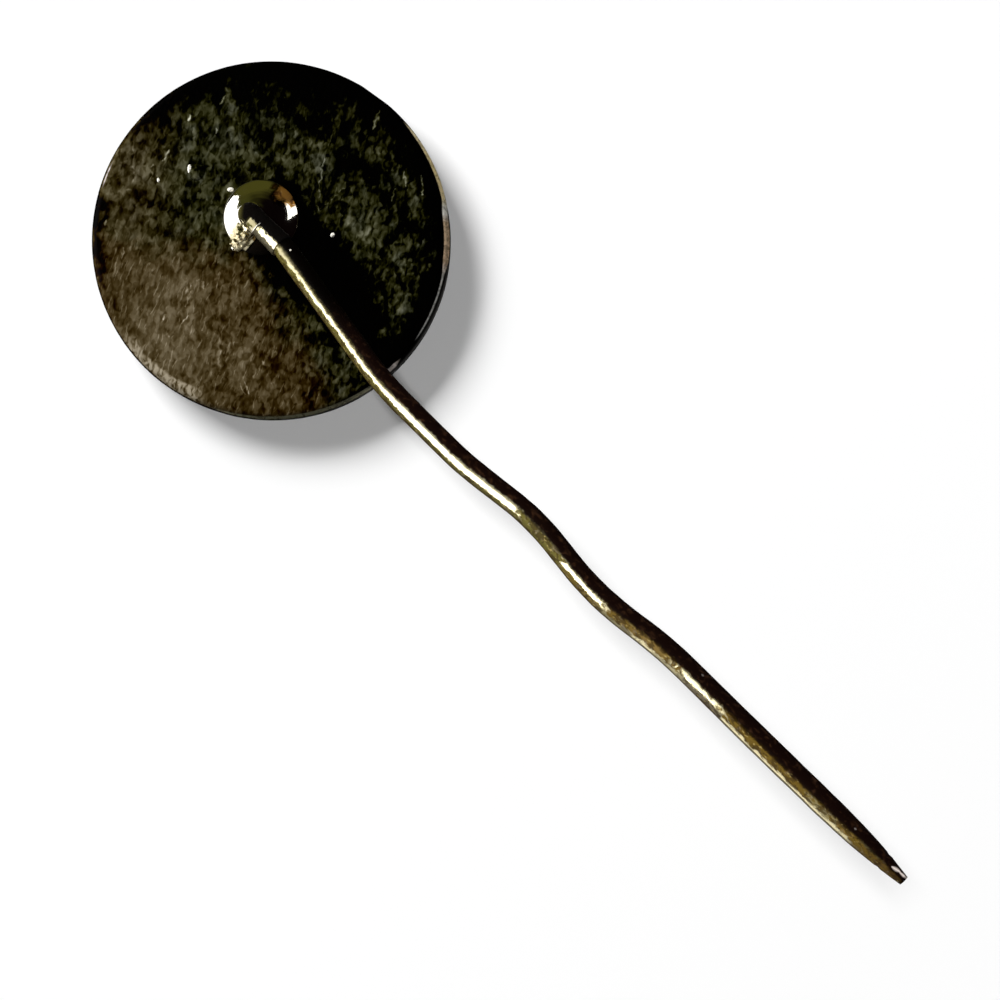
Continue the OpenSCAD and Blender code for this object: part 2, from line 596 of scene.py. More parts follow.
bpy.ops.object.select_all(action="DESELECT")
bpy.ops.mesh.primitive_circle_add(
    vertices=96, radius=BUTTON[0][0] * MM, fill_type="NGON",
    location=FOOT_PLACE + Vector((0, 0, BUTTON[0][1])) * MM)
apply_place()
button = start_piece("button")
bpy.ops.mesh.select_all(action="SELECT")
for (r0, z0), (r1, z1) in zip(BUTTON, BUTTON[1:]):
    bpy.ops.mesh.extrude_region_move(TRANSFORM_OT_translate={"value": (0, 0, (z1 - z0) * MM)})
    bpy.ops.transform.resize(
        value=(r1 / r0, r1 / r0, 1), center_override=FOOT_PLACE + Vector((0, 0, z1)) * MM)
bpy.ops.mesh.extrude_region_move(
    TRANSFORM_OT_translate={"value": (0, 0, (FOOT_TOP - BUTTON[-1][1]) * MM)})
bpy.ops.transform.resize(
    value=(0.1, 0.1, 1), center_override=FOOT_PLACE + Vector((0, 0, FOOT_TOP)) * MM)
close_piece()
foot_parts.append(button)
print("button has", len(button.data.polygons), "faces")

# %% Foot: lumps of spare solder
# Each row: place in mm, height over the disc, radius. Together they make a web from the
# wire down to the disc.
WEB = [
    (-1.22, 0.92, 0.30, 0.44), (-0.92, 0.86, 0.66, 0.38), (-0.62, 0.90, 1.05, 0.38),
    (-0.30, 0.96, 1.42, 0.42), (0.02, 0.98, 1.72, 0.46),
]
WEB_END = 0.53 * MM
LUMP_SHAPE = (1.08, 0.96, 1.0)


def ball(x, y, z, radius):
    """One lump of solder, a little longer one way."""
    place = Vector((x * MM, y * MM, disc_top + z * MM))
    bpy.ops.object.select_all(action="DESELECT")
    bpy.ops.mesh.primitive_uv_sphere_add(
        segments=32, ring_count=20, radius=radius * MM, location=place)
    apply_place()
    lump = start_piece("lump")
    bpy.ops.mesh.select_all(action="SELECT")
    bpy.ops.transform.resize(value=LUMP_SHAPE, center_override=place)
    return lump


for x, y, z, radius in WEB:
    lump = ball(x, y, z, radius)
    bpy.ops.mesh.bisect(
        plane_co=(0, WEB_END, 0), plane_no=(0, -1, 0), use_fill=True, clear_outer=True)
    bpy.ops.object.mode_set(mode="OBJECT")
    apply_modifier(lump, "DISPLACE", "crumple", texture=clouds("crumple", 0.2 * MM, 2),
                   texture_coords="LOCAL", strength=0.16 * MM, mid_level=0.5)
    foot_parts.append(lump)
print("lumps in the web:", len(WEB))

# %% [markdown]
# The web's skin is crumpled. Small ball shapes with few faces are strewn over it, turned
# every which way, so that their facets glint after the remesh.

# %% Foot: crumpled skin
CRUMBS = 26
# Turning each crumb on by the golden angle never repeats a direction.
GOLDEN = 2.399963
CRUMB_R, CRUMB_R_CHANGE, CRUMB_SHAPE = 0.09, 0.03, (1.3, 0.9, 0.8)
for number in range(CRUMBS):
    share = (number + 0.5) / CRUMBS
    along_web = share * (len(WEB) - 1.6)
    first = int(along_web)
    part = along_web - first
    (x0, y0, z0, r0), (x1, y1, z1, r1) = WEB[first], WEB[first + 1]
    angle = number * GOLDEN
    radius = r0 + (r1 - r0) * part
    place = Vector((
        x0 + (x1 - x0) * part - 0.55 * radius + 0.22 * math.cos(angle),
        y0 + (y1 - y0) * part + 0.30 * math.sin(angle) + 0.02,
        z0 + (z1 - z0) * part + 0.50 * radius + 0.10 * math.cos(2 * angle))) * MM
    bpy.ops.object.select_all(action="DESELECT")
    bpy.ops.mesh.primitive_ico_sphere_add(
        subdivisions=1, radius=(CRUMB_R + CRUMB_R_CHANGE * math.sin(5 * angle)) * MM,
        location=place + Vector((0, 0, disc_top)), rotation=(angle, 2 * angle, 3 * angle),
        scale=CRUMB_SHAPE)
    apply_place()
    foot_parts.append(bpy.context.object)
print("crumbs on the web:", CRUMBS)

# %% [markdown]
# The web's end shows as a thin bright line across the wire: a lip of solder. It is a
# thin rod that is pushed along a few points, over the wire's side and down to the button.

# %% Foot: lip
# Each row: place in mm and height over the disc.
LIP = [
    (0.20, 0.48, 2.58), (0.02, 0.48, 2.60), (-0.20, 0.48, 2.53), (-0.36, 0.49, 2.36),
    (-0.47, 0.50, 2.12), (-0.60, 0.52, 1.75), (-0.76, 0.54, 1.35), (-0.92, 0.56, 0.98),
    (-1.08, 0.58, 0.64),
]
LIP_R = 0.05 * MM


def rod(name, points, radius):
    """A thin rod through points given in mm over the disc's back."""
    path = [Vector((x, y, z)) * MM + Vector((0, 0, disc_top)) for x, y, z in points]
    ways = [(b - a).normalized() for a, b in zip(path, path[1:])]
    ways = [ways[0]] + [(a + b).normalized() for a, b in zip(ways, ways[1:])] + [ways[-1]]
    turn = ways[0].to_track_quat("Z", "Y").to_matrix()
    bpy.ops.object.select_all(action="DESELECT")
    bpy.ops.mesh.primitive_circle_add(
        vertices=14, radius=radius, fill_type="NGON", location=path[0], rotation=turn.to_euler())
    apply_place()
    piece = start_piece(name)
    bpy.ops.mesh.select_all(action="SELECT")
    for i in range(1, len(path)):
        change = ways[i - 1].rotation_difference(ways[i]).to_matrix()
        push_ring(path[i] - path[i - 1], turn, change @ turn, path[i], 1.0)
        turn = change @ turn
    close_piece()
    return piece


solder_lip = rod("solder_lip", LIP, LIP_R)
settle(solder_lip)


# %% [markdown]
# The elbow is the same bent wire, made thicker by the solder that climbed it: wide at
# its root, and fuller again towards its ragged end. One more lump leans on it.

# %% Foot: elbow
def sleeve_radius(s):
    """Radius of the solder on the wire: wide at the root, fuller again at its end."""
    climb = max(0.0, 1 - s / (0.9 * MM))
    thick = max(0.0, s - ELBOW_END) / (1.7 * MM)
    return WIRE_R + 0.004 * MM + 0.12 * MM * climb ** 2 + 0.05 * MM * thick ** 2


sleeve_station = max(i for i in range(len(lengths)) if lengths[i] < SLEEVE_END - 0.15 * MM)
elbow = bend_wire("elbow", 0, sleeve_station, sleeve_radius)
bpy.ops.object.mode_set(mode="OBJECT")
foot_parts.append(elbow)

# A flat lump of solder leans on the elbow, its flat side turned to the left panel.
ROOT_LUMP = Vector((-0.31 * MM, 1.02 * MM, disc_top + 1.80 * MM))
ROOT_LUMP_SHAPE = (1.1, 0.95, 0.48)
bpy.ops.object.select_all(action="DESELECT")
bpy.ops.mesh.primitive_uv_sphere_add(
    segments=32, ring_count=20, radius=0.34 * MM, location=ROOT_LUMP,
    rotation=towards(175, 57).to_track_quat("Z", "Y").to_euler(), scale=ROOT_LUMP_SHAPE)
apply_place()
foot_parts.append(bpy.context.object)
print("parts of the foot:", len(foot_parts))

# %% [markdown]
# Joined and remeshed, the parts become one skin. Smoothing lets them flow together, one
# displace modifier dimples the skin, and a second makes only the high part ragged.

# %% Foot: one skin
VOXEL = 0.032 * MM
HIGH_UP = disc_top + 1.15 * MM
solder_foot = join_parts(foot_parts, "solder_foot")
solder_foot.data.remesh_voxel_size = VOXEL
bpy.ops.object.voxel_remesh()
apply_modifier(solder_foot, "SMOOTH", "flow", factor=0.5, iterations=4)
apply_modifier(solder_foot, "DISPLACE", "dimples", texture=clouds("dimples", 0.55 * MM, 0),
               texture_coords="LOCAL", strength=0.016 * MM, mid_level=0.5)
high_up = solder_foot.vertex_groups.new(name="high_up")
high_points = [v.index for v in solder_foot.data.vertices if v.co.z > HIGH_UP]
high_up.add(high_points, 1.0, "ADD")
apply_modifier(solder_foot, "DISPLACE", "ragged_flow", texture=clouds("ragged", 0.30 * MM, 1),
               texture_coords="LOCAL", strength=0.05 * MM, mid_level=0.5, vertex_group="high_up")
settle(solder_foot)

# %% [markdown]
# ## Spatter
# A few beads of solder spattered over the disc and the wire when the foot was soldered
# on. Each is a small ball, pressed flat and turned, and they are joined into one piece.

# %% Solder beads
SUNK = 0.03
# Each row: place in mm, height over the disc, half-widths along, across and up, turn.
BEADS = [
    (-0.36, 5.34, 0.0, 0.24, 0.11, 0.10, 45),
    (0.36, 3.17, 0.0, 0.17, 0.12, 0.10, -45),
    (2.36, -2.03, 0.0, 0.13, 0.11, 0.09, 0),
    (-1.85, 6.05, 0.0, 0.12, 0.07, 0.05, 50),
    (0.25, -1.56, 2.90, 0.11, 0.09, 0.06, 20),
    (0.15, -2.12, 3.01, 0.05, 0.04, 0.04, 20),
]
beads = []
for x, y, up, half_long, half_wide, high, turned in BEADS:
    bpy.ops.object.select_all(action="DESELECT")
    bpy.ops.mesh.primitive_ico_sphere_add(
        subdivisions=3, radius=1 * MM,
        location=(x * MM, y * MM, disc_top + (up - SUNK) * MM),
        rotation=(0, 0, math.radians(turned)), scale=(half_long, half_wide, high))
    apply_place()
    beads.append(bpy.context.object)
solder_beads = join_parts(beads, "solder_beads")
settle(solder_beads)

# %% [markdown]
# One blister of patina stands beside a bead. It is a flattened ball with the disc's
# finish, pressed down until it is hardly higher than the disc.

# %% Blister
BLISTER_R, BLISTER_SHAPE = 0.44 * MM, (1.0, 0.9, 0.26)
BLISTER_PLACE = (-0.22 * MM, 4.97 * MM, disc_top - 0.02 * MM)
bpy.ops.object.select_all(action="DESELECT")
bpy.ops.mesh.primitive_ico_sphere_add(
    subdivisions=4, radius=BLISTER_R, location=BLISTER_PLACE, scale=BLISTER_SHAPE)
blister = bpy.context.object
blister.name = blister.data.name = "patina_blister"
settle(blister)

# %% [markdown]
# ## Shader groups
# Several finishes need the same effects: streaky flecks, patches of tarnish and single
# scratches. Each is a node group with named inputs and outputs, built once and placed in
# each material with its own values. The groups put out masks and levels only, and the
# shader stays in the material. First come small helpers, so that a sum of masks reads
# like a sum.

# %% Node helpers: one node
def node(tree, kind, **settings):
    """Adds a node; settings that name an input set it, others set the node itself."""
    made = tree.nodes.new(kind)
    for key, value in settings.items():
        name = key.replace("_", " ").title()
        if name in made.inputs:
            made.inputs[name].default_value = value
        else:
            setattr(made, key, value)
    return made


def feed(tree, value, socket):
    """Sets a socket to a number or tuple, or links another socket to it."""
    if isinstance(value, (int, float, tuple, Vector)):
        socket.default_value = value
    else:
        tree.links.new(value, socket)


def maths(tree, operation, a, b=None, clamp=False):
    """A Math node fed by sockets or numbers; gives back its output."""
    made = node(tree, "ShaderNodeMath", operation=operation, use_clamp=clamp)
    feed(tree, a, made.inputs[0])
    if b is not None:
        feed(tree, b, made.inputs[1])
    return made.outputs[0]


# %% Node helpers: sums and products
def times(tree, *factors):
    """The product of sockets and numbers."""
    total = factors[0]
    for factor in factors[1:]:
        total = maths(tree, "MULTIPLY", total, factor)
    return total


def plus(tree, *parts, clamp=False):
    """The sum of sockets and numbers; clamp keeps it between 0 and 1."""
    total = parts[0]
    for part in parts[1:]:
        total = maths(tree, "ADD", total, part, clamp=clamp)
    return total


def minus(tree, a, b, clamp=False):
    """The first less the second."""
    return maths(tree, "SUBTRACT", a, b, clamp=clamp)


def rest_of(tree, mask):
    """Where a mask isn't: 1 less the mask."""
    return minus(tree, 1.0, mask)


def largest(tree, a, b):
    """The larger of two values."""
    return maths(tree, "MAXIMUM", a, b)


def weighed(tree, *parts):
    """Adds up sockets, each given with its weight."""
    total = None
    for value, weight in parts:
        one = value if weight == 1 else times(tree, value, weight)
        total = one if total is None else plus(tree, total, one)
    return total


def soft_step(tree, value, low, high):
    """0 below low, 1 above high, smooth between; low may be above high."""
    flip = low > high
    made = node(
        tree, "ShaderNodeMapRange", interpolation_type="SMOOTHSTEP",
        from_min=min(low, high), from_max=max(low, high),
        to_min=1.0 if flip else 0.0, to_max=0.0 if flip else 1.0)
    tree.links.new(value, made.inputs["Value"])
    return made.outputs["Result"]


# %% Node helpers: places
def vector_maths(tree, operation, a, b=None, scale=None):
    """A Vector Math node fed by sockets or tuples; gives back its output."""
    made = node(tree, "ShaderNodeVectorMath", operation=operation)
    feed(tree, a, made.inputs[0])
    if b is not None:
        feed(tree, b, made.inputs[1])
    if scale is not None:
        feed(tree, scale, made.inputs["Scale"])
    return made.outputs["Value" if operation in ("DISTANCE", "DOT_PRODUCT") else "Vector"]


def object_place(tree):
    """The point's own place on the piece: the whole vector and its X, Y and Z."""
    coords = tree.nodes.new("ShaderNodeTexCoord").outputs["Object"]
    split = tree.nodes.new("ShaderNodeSeparateXYZ")
    tree.links.new(coords, split.inputs[0])
    return (coords, *split.outputs)


def turned_vector(tree, degrees, shift=(0, 0, 0)):
    """Object coordinates turned about Z, so that a pattern's X runs that way."""
    coords = tree.nodes.new("ShaderNodeTexCoord")
    mapping = node(tree, "ShaderNodeMapping", rotation=(0, 0, math.radians(-degrees)), location=shift)
    tree.links.new(coords.outputs["Object"], mapping.inputs["Vector"])
    return mapping.outputs[0]


def warped(tree, vector, size, reach):
    """The vector moved by noise, up to about the reach."""
    noise = node(tree, "ShaderNodeTexNoise", scale=1 / size, detail=1.0)
    tree.links.new(vector, noise.inputs["Vector"])
    centred = vector_maths(tree, "SUBTRACT", noise.outputs["Color"], (0.5, 0.5, 0.5))
    return vector_maths(tree, "ADD", vector, vector_maths(tree, "SCALE", centred, scale=2 * reach))


# %% Node helpers: colours
# The Mix node keeps its colour sockets after those for numbers and vectors.
MIX_UNDER, MIX_OVER, MIX_RESULT = 6, 7, 2


def mix_colour(tree, mask, under, over):
    """Mixes two colours, each a socket or a tuple, by a mask."""
    made = node(tree, "ShaderNodeMix", data_type="RGBA")
    for number, value in ((MIX_UNDER, under), (MIX_OVER, over)):
        feed(tree, (*value, 1) if isinstance(value, tuple) else value, made.inputs[number])
    tree.links.new(mask, made.inputs[0])
    return made.outputs[MIX_RESULT]


def colour_map(tree, value, first, last, stops):
    """A colour ramp over a range; each stop is a place, a colour and an amount."""
    share = maths(tree, "DIVIDE", minus(tree, value, first), last - first)
    ramp = tree.nodes.new("ShaderNodeValToRGB")
    elements = ramp.color_ramp.elements
    places = sorted(((place - first) / (last - first), tint, amount) for place, tint, amount in stops)
    elements[0].position, elements[1].position = places[0][0], places[-1][0]
    for position, tint, amount in places[1:-1]:
        elements.new(position)
    for element, (position, tint, amount) in zip(elements, places):
        element.position = position
        element.color = (*tint, amount)
    tree.links.new(share, ramp.inputs[0])
    return ramp.outputs["Color"], ramp.outputs["Alpha"]


# %% New materials and groups
def new_finish(name):
    """A material with a bare Principled shader."""
    paint = bpy.data.materials.new(name)
    paint.use_nodes = True
    return paint, paint.node_tree, paint.node_tree.nodes["Principled BSDF"]


def new_group(name, inputs, outputs):
    """A shader group with number inputs, one vector input and mask outputs."""
    tree = bpy.data.node_groups.new(name, "ShaderNodeTree")
    tree.interface.new_socket("Vector", in_out="INPUT", socket_type="NodeSocketVector")
    for label, value in inputs.items():
        socket = tree.interface.new_socket(label, in_out="INPUT", socket_type="NodeSocketFloat")
        socket.default_value = value
    for label in outputs:
        tree.interface.new_socket(label, in_out="OUTPUT", socket_type="NodeSocketFloat")
    return tree, tree.nodes.new("NodeGroupInput"), tree.nodes.new("NodeGroupOutput")


# %% [markdown]
# Noise values gather round 0.5. A share says how much of the surface a mask covers: the
# noise counts where it is over one less the share, and the edge says how soon the mask
# is full from there. Flecks are noise that is drawn out along one direction, as a wiping
# cloth draws them. Patches are finer in detail and have no direction.

# %% Groups: streaky flecks and tarnish patches
def share_mask(tree, noise, given):
    """A mask by share and edge, from a noise node."""
    level = rest_of(tree, given.outputs["Share"])
    over = minus(tree, noise.outputs["Fac"], level)
    return maths(tree, "DIVIDE", over, given.outputs["Edge"], clamp=True)


def build_flecks():
    """Noise drawn out along the vector's X: a mask by share and edge, and the plain level."""
    tree, given, result = new_group(
        "streaky_flecks",
        {"Size": 0.0003, "Stretch": 3.0, "Share": 0.5, "Edge": 0.08, "Detail": 2.0},
        ["Mask", "Level"])
    scale = maths(tree, "DIVIDE", 1.0, given.outputs["Size"])
    thin = node(tree, "ShaderNodeCombineXYZ", Y=1.0, Z=1.0)
    tree.links.new(maths(tree, "DIVIDE", 1.0, given.outputs["Stretch"]), thin.inputs["X"])
    stretched = vector_maths(tree, "MULTIPLY", given.outputs["Vector"], thin.outputs[0])
    noise = node(tree, "ShaderNodeTexNoise", roughness=0.55, distortion=0.5)
    tree.links.new(given.outputs["Detail"], noise.inputs["Detail"])
    tree.links.new(stretched, noise.inputs["Vector"])
    tree.links.new(scale, noise.inputs["Scale"])
    tree.links.new(share_mask(tree, noise, given), result.inputs["Mask"])
    tree.links.new(minus(tree, noise.outputs["Fac"], 0.5), result.inputs["Level"])
    return tree


def build_patches():
    """Soft-edged patches of a given size, for tarnish and stains."""
    tree, given, result = new_group(
        "tarnish_patches", {"Size": 0.002, "Share": 0.5, "Edge": 0.1}, ["Mask"])
    noise = node(tree, "ShaderNodeTexNoise", detail=5.0, roughness=0.6, distortion=0.8)
    tree.links.new(given.outputs["Vector"], noise.inputs["Vector"])
    tree.links.new(maths(tree, "DIVIDE", 1.0, given.outputs["Size"]), noise.inputs["Scale"])
    tree.links.new(share_mask(tree, noise, given), result.inputs["Mask"])
    return tree


flecks_group = build_flecks()
patches_group = build_patches()
print("flecks and patches:", len(flecks_group.nodes), "and", len(patches_group.nodes), "nodes")


# %% [markdown]
# A scratch runs from one point to another. The group finds the nearest place on that
# line and how far the surface is from it, and narrows the scratch towards its ends.

# %% Group: one mark
END_NARROWING = 0.6


def build_mark():
    """A scratch from one point to another in plan, thickest in its middle."""
    tree, given, result = new_group(
        "one_mark",
        {"From X": 0.0, "From Y": 0.0, "To X": 0.001, "To Y": 0.0, "Width": 0.0001}, ["Mask"])

    def plan(label):
        made = tree.nodes.new("ShaderNodeCombineXYZ")
        tree.links.new(given.outputs[label + " X"], made.inputs["X"])
        tree.links.new(given.outputs[label + " Y"], made.inputs["Y"])
        return made.outputs[0]

    flat = vector_maths(tree, "MULTIPLY", given.outputs["Vector"], (1, 1, 0))
    start, end = plan("From"), plan("To")
    run = vector_maths(tree, "SUBTRACT", end, start)
    arm = vector_maths(tree, "SUBTRACT", flat, start)
    share = maths(tree, "DIVIDE", vector_maths(tree, "DOT_PRODUCT", arm, run),
                  vector_maths(tree, "DOT_PRODUCT", run, run), clamp=True)
    nearest = vector_maths(tree, "SCALE", run, scale=share)
    away = vector_maths(tree, "DISTANCE", arm, nearest)
    middle = minus(tree, times(tree, share, 2.0), 1.0)
    taper = rest_of(tree, times(tree, middle, middle, END_NARROWING))
    reach = times(tree, given.outputs["Width"], taper)
    inside = minus(tree, 1.0, maths(tree, "DIVIDE", away, reach), clamp=True)
    tree.links.new(inside, result.inputs["Mask"])
    return tree


mark_group = build_mark()
print("one mark:", len(mark_group.nodes), "nodes")


# %% [markdown]
# A material places a group, feeds it a vector and sets its values. Marks on the disc are
# given as the picture shows them, right and up from the disc's middle, and turned into
# the disc's own directions here.

# %% Placing the groups
def place_group(tree, group, vector, output="Mask", **values):
    """Puts a group into a material, fed by a vector, with its own values."""
    made = node(tree, "ShaderNodeGroup", node_tree=group)
    tree.links.new(vector, made.inputs["Vector"])
    for key, value in values.items():
        feed(tree, value, made.inputs[key])
    return made.outputs[output]


def in_plan(right, up):
    """A point of the disc's face, given in mm from its middle as the picture shows it."""
    return VIEW_RIGHT * right * MM + VIEW_UP * up * MM


def place_marks(tree, vector, marks):
    """Marks given as right, up, right, up, half width in mm and strength.

    Where marks cross, the stronger one counts.
    """
    total = None
    for r0, u0, r1, u1, width, strength in marks:
        start, end = in_plan(r0, u0), in_plan(r1, u1)
        made = place_group(tree, mark_group, vector, **{
            "From X": start.x, "From Y": start.y, "To X": end.x, "To Y": end.y,
            "Width": width * MM})
        one = times(tree, made, strength)
        total = one if total is None else largest(tree, total, one)
    return total


# %% [markdown]
# ## Finish of the disc
# The disc's back is base metal under a thick dark patina. Wiping and wear broke the
# patina into soft flecks that lean the way it was wiped, olive towards the top and
# brown in the lower left. Along the needle it is painted black as painted shade, where
# the needle's shadow and reflection fall, and at the top and round the right rim it is
# darker. The tone is worked out as the eye sees it, from 0 for black to 1 for white,
# and turned into a base colour at the end.
#
# First come the distances that the zones are measured by, and two sizes of patches that
# make them uneven.

# %% Disc finish: distances
STREAK_WAY = 31
DIAGONAL = 0.7071
BORDER_UNEVENNESS = 1.3 * MM

disc_finish, tree, shader = new_finish("dark_patina")
links = tree.links
coords, x, y, z = object_place(tree)
streaks = turned_vector(tree, STREAK_WAY)
radius = maths(tree, "SQRT", plus(tree, times(tree, x, x), times(tree, y, y)))
picture_right = times(tree, minus(tree, x, y), DIAGONAL)
picture_up = times(tree, plus(tree, x, y), DIAGONAL)
broad = place_group(tree, patches_group, coords, Size=3.0 * MM, Share=0.62, Edge=0.35)
medium = place_group(tree, patches_group, coords, Size=1.1 * MM, Share=0.62, Edge=0.35)
ragged = times(tree, minus(tree, plus(tree, broad, medium), 1.0), BORDER_UNEVENNESS)
print("disc finish:", len(tree.nodes), "nodes for distances")

# %% [markdown]
# A zone is a soft step of a distance: 0 on one side of its border, 1 on the other and
# in between over the border's width. The unevenness keeps the border from looking drawn.

# %% Disc finish: brown and black zones
# A slope says how far a border moves sideways with each step up or across.
BROWN_SLOPE, BROWN_SLOPE_PAST_FOOT = 0.69, 0.5
NEEDLE_SLOPE, TOP_SLOPE, LOW_SLOPE = -0.44, 0.28, 0.35
CORE_PLACE = (*in_plan(-4.0, -4.3).xy, disc_top)

past_foot = largest(tree, plus(tree, picture_right, 1.2 * MM), 0.0)
brown_line = weighed(
    tree, (x, 1), (largest(tree, y, 0.0), BROWN_SLOPE), (ragged, 1),
    (past_foot, BROWN_SLOPE_PAST_FOOT))
brown = soft_step(tree, brown_line, 0.3 * MM, -3.4 * MM)
from_core = plus(tree, vector_maths(tree, "DISTANCE", coords, CORE_PLACE), ragged)
core = soft_step(tree, from_core, 5.0 * MM, 1.5 * MM)

# The needle's painted shade on the disc lies between two borders and below a third.
down_needle = maths(tree, "MINIMUM", y, -3.2 * MM)
edge_line = weighed(tree, (down_needle, NEEDLE_SLOPE), (x, 1), (ragged, 0.45))
right_of = soft_step(tree, edge_line, 4.1 * MM, 2.9 * MM)
left_of = soft_step(tree, weighed(tree, (x, 1), (ragged, 0.3)), -1.7 * MM, -0.5 * MM)
below = soft_step(tree, y, 2.4 * MM, 0.6 * MM)
needle_shade = times(tree, right_of, left_of, below)
top_line = weighed(tree, (picture_up, 1), (picture_right, TOP_SLOPE))
top_dark = soft_step(tree, plus(tree, top_line, ragged), 4.6 * MM, 7.6 * MM)

# The rim's dark band leaves out the lower left.
rim_line = weighed(tree, (radius, 1), (ragged, 0.4))
low_line = weighed(tree, (picture_up, 1), (picture_right, LOW_SLOPE))
rim_band = times(
    tree, soft_step(tree, rim_line, 7.5 * MM, 8.4 * MM),
    soft_step(tree, low_line, -5.6 * MM, -4.0 * MM),
    soft_step(tree, picture_right, -5.0 * MM, 1.0 * MM))
outline = soft_step(tree, radius, 8.86 * MM, 8.94 * MM)
print("disc finish:", len(tree.nodes), "nodes with the zones")

# %% [markdown]
# The flecks are noise of three sizes. The two smaller ones are read from a slightly
# warped place, so that their edges are ragged, and the middle size is also sharpened by
# a steep step, which gives leafy flecks with clear edges. The sum is spread round a
# middle tone that changes from zone to zone, so black, olive and brown areas run into
# each other without a drawn border.

# %% Disc finish: flecks
# The noise levels spread about this far to each side of 0.
LEVEL_SPREAD = 0.12
CRISP_EDGE = 0.045

ragged_streaks = warped(tree, streaks, 0.30 * MM, 0.11 * MM)
blotches = place_group(tree, flecks_group, streaks, "Level", Size=0.85 * MM, Stretch=1.3, Detail=1.0)
smaller = place_group(
    tree, flecks_group, ragged_streaks, "Level", Size=0.37 * MM, Stretch=1.6, Detail=0.9)
grains = place_group(
    tree, flecks_group, ragged_streaks, "Level", Size=0.17 * MM, Stretch=1.9, Detail=0.5)
crisp = minus(tree, soft_step(tree, smaller, -CRISP_EDGE, CRISP_EDGE), 0.5)
noise_sum = weighed(
    tree, (blotches, 0.50 / LEVEL_SPREAD), (smaller, 0.30 / LEVEL_SPREAD), (crisp, 0.85),
    (grains, 0.42 / LEVEL_SPREAD))
print("disc finish:", len(tree.nodes), "nodes with the flecks")

# %% [markdown]
# The middle tone starts from one value, falls a little towards the right and changes in
# each zone. A table of broad marks then makes some places paler and others darker.

# %% Disc finish: middle tone
MIDDLE_TONE = 0.095
TONE_LOSS_RIGHT = 0.0065 / MM
# One of these zones is painted shade: black along the needle, where its shadow and reflection fall.
ZONE_TONES = (
    (brown, 0.058), (core, 0.046), (top_dark, -0.125), (rim_band, -0.20), (needle_shade, -0.60),
    (outline, -0.22),
)
SWELL_TONE = 0.06
middle_tone = minus(tree, MIDDLE_TONE, times(tree, picture_right, TONE_LOSS_RIGHT))
for mask, change in ZONE_TONES:
    middle_tone = plus(tree, middle_tone, times(tree, mask, change))
middle_tone = plus(tree, middle_tone, times(tree, minus(tree, broad, 0.5), SWELL_TONE))

# Flecks gather in a few places, and a few places are almost bare of them. Each row: from
# right and up to right and up in mm, half width in mm, how much paler or darker.
PALER = [
    (3.9, 0.9, 4.7, -0.2, 0.75, 0.15), (5.4, -0.3, 7.3, -1.9, 0.80, 0.12),
    (1.7, 5.2, 2.6, 3.3, 0.95, 0.07), (5.7, 2.2, 6.7, 3.6, 0.55, 0.05),
    (3.1, 2.6, 4.3, 1.9, 0.60, 0.05), (-6.3, 4.6, -5.6, 2.8, 0.70, 0.04),
    (-4.3, 6.2, -3.5, 4.9, 0.60, 0.09), (-1.3, 5.0, -0.2, 3.6, 0.60, 0.04),
    (-2.1, 7.3, -1.8, 6.6, 0.40, 0.15), (5.6, 6.3, 5.2, 5.4, 0.30, 0.10),
]
DARKER = [
    (3.4, 4.3, 5.6, 3.1, 0.80, 0.16), (2.4, 0.3, 3.0, -1.0, 0.70, 0.16),
    (6.8, 0.9, 7.6, 0.2, 0.60, 0.12), (-1.9, 3.2, -0.7, 2.5, 0.55, 0.10),
    (-8.7, 2.4, -8.6, 0.4, 0.80, 0.24), (-2.9, 3.9, -2.4, 2.9, 0.45, 0.09),
    (-8.7, 0.2, -8.4, -1.9, 0.70, 0.22), (-6.4, 6.2, -3.0, 8.1, 1.15, 0.24),
    (4.4, -3.0, 6.0, -4.2, 0.70, 0.10), (-6.6, 2.3, -6.2, 1.4, 0.45, 0.08),
    (-8.3, -2.0, -7.8, -3.4, 0.45, 0.10),
]
ragged_places = warped(tree, coords, 0.6 * MM, 0.45 * MM)
middle_tone = plus(tree, middle_tone, place_marks(tree, ragged_places, PALER))
middle_tone = minus(tree, middle_tone, place_marks(tree, ragged_places, DARKER))

# The flecks' contrast is lower in the brown part and grows towards the right.
CONTRAST, CONTRAST_IN_BROWN, CONTRAST_RIGHT = 0.084, -0.022, 0.0016 / MM
spread = plus(tree, CONTRAST, times(tree, brown, CONTRAST_IN_BROWN),
              times(tree, picture_right, CONTRAST_RIGHT))
tone = plus(tree, middle_tone, times(tree, noise_sum, spread))
print("disc finish:", len(tree.nodes), "nodes with the middle tone")

# %% [markdown]
# Over the flecks lie scratches: thin hairs left by wiping, from drawn-out flecks, and a
# few larger scratches and painted glints that are given one by one where they catch the eye.

# %% Disc finish: scratches and painted glints
HAIR_TONE, HAIR_TONE_IN_BROWN = 0.02, 0.10
hair_vector = warped(tree, turned_vector(tree, STREAK_WAY - 4), 0.5 * MM, 0.10 * MM)
hair_lines = place_group(
    tree, flecks_group, hair_vector, Size=0.10 * MM, Stretch=7.0, Share=0.36, Edge=0.10, Detail=0.5)
hair_strength = times(
    tree, plus(tree, HAIR_TONE, times(tree, brown, HAIR_TONE_IN_BROWN)), rest_of(tree, needle_shade))
tone = plus(tree, largest(tree, tone, 0.0), times(tree, hair_lines, hair_strength))
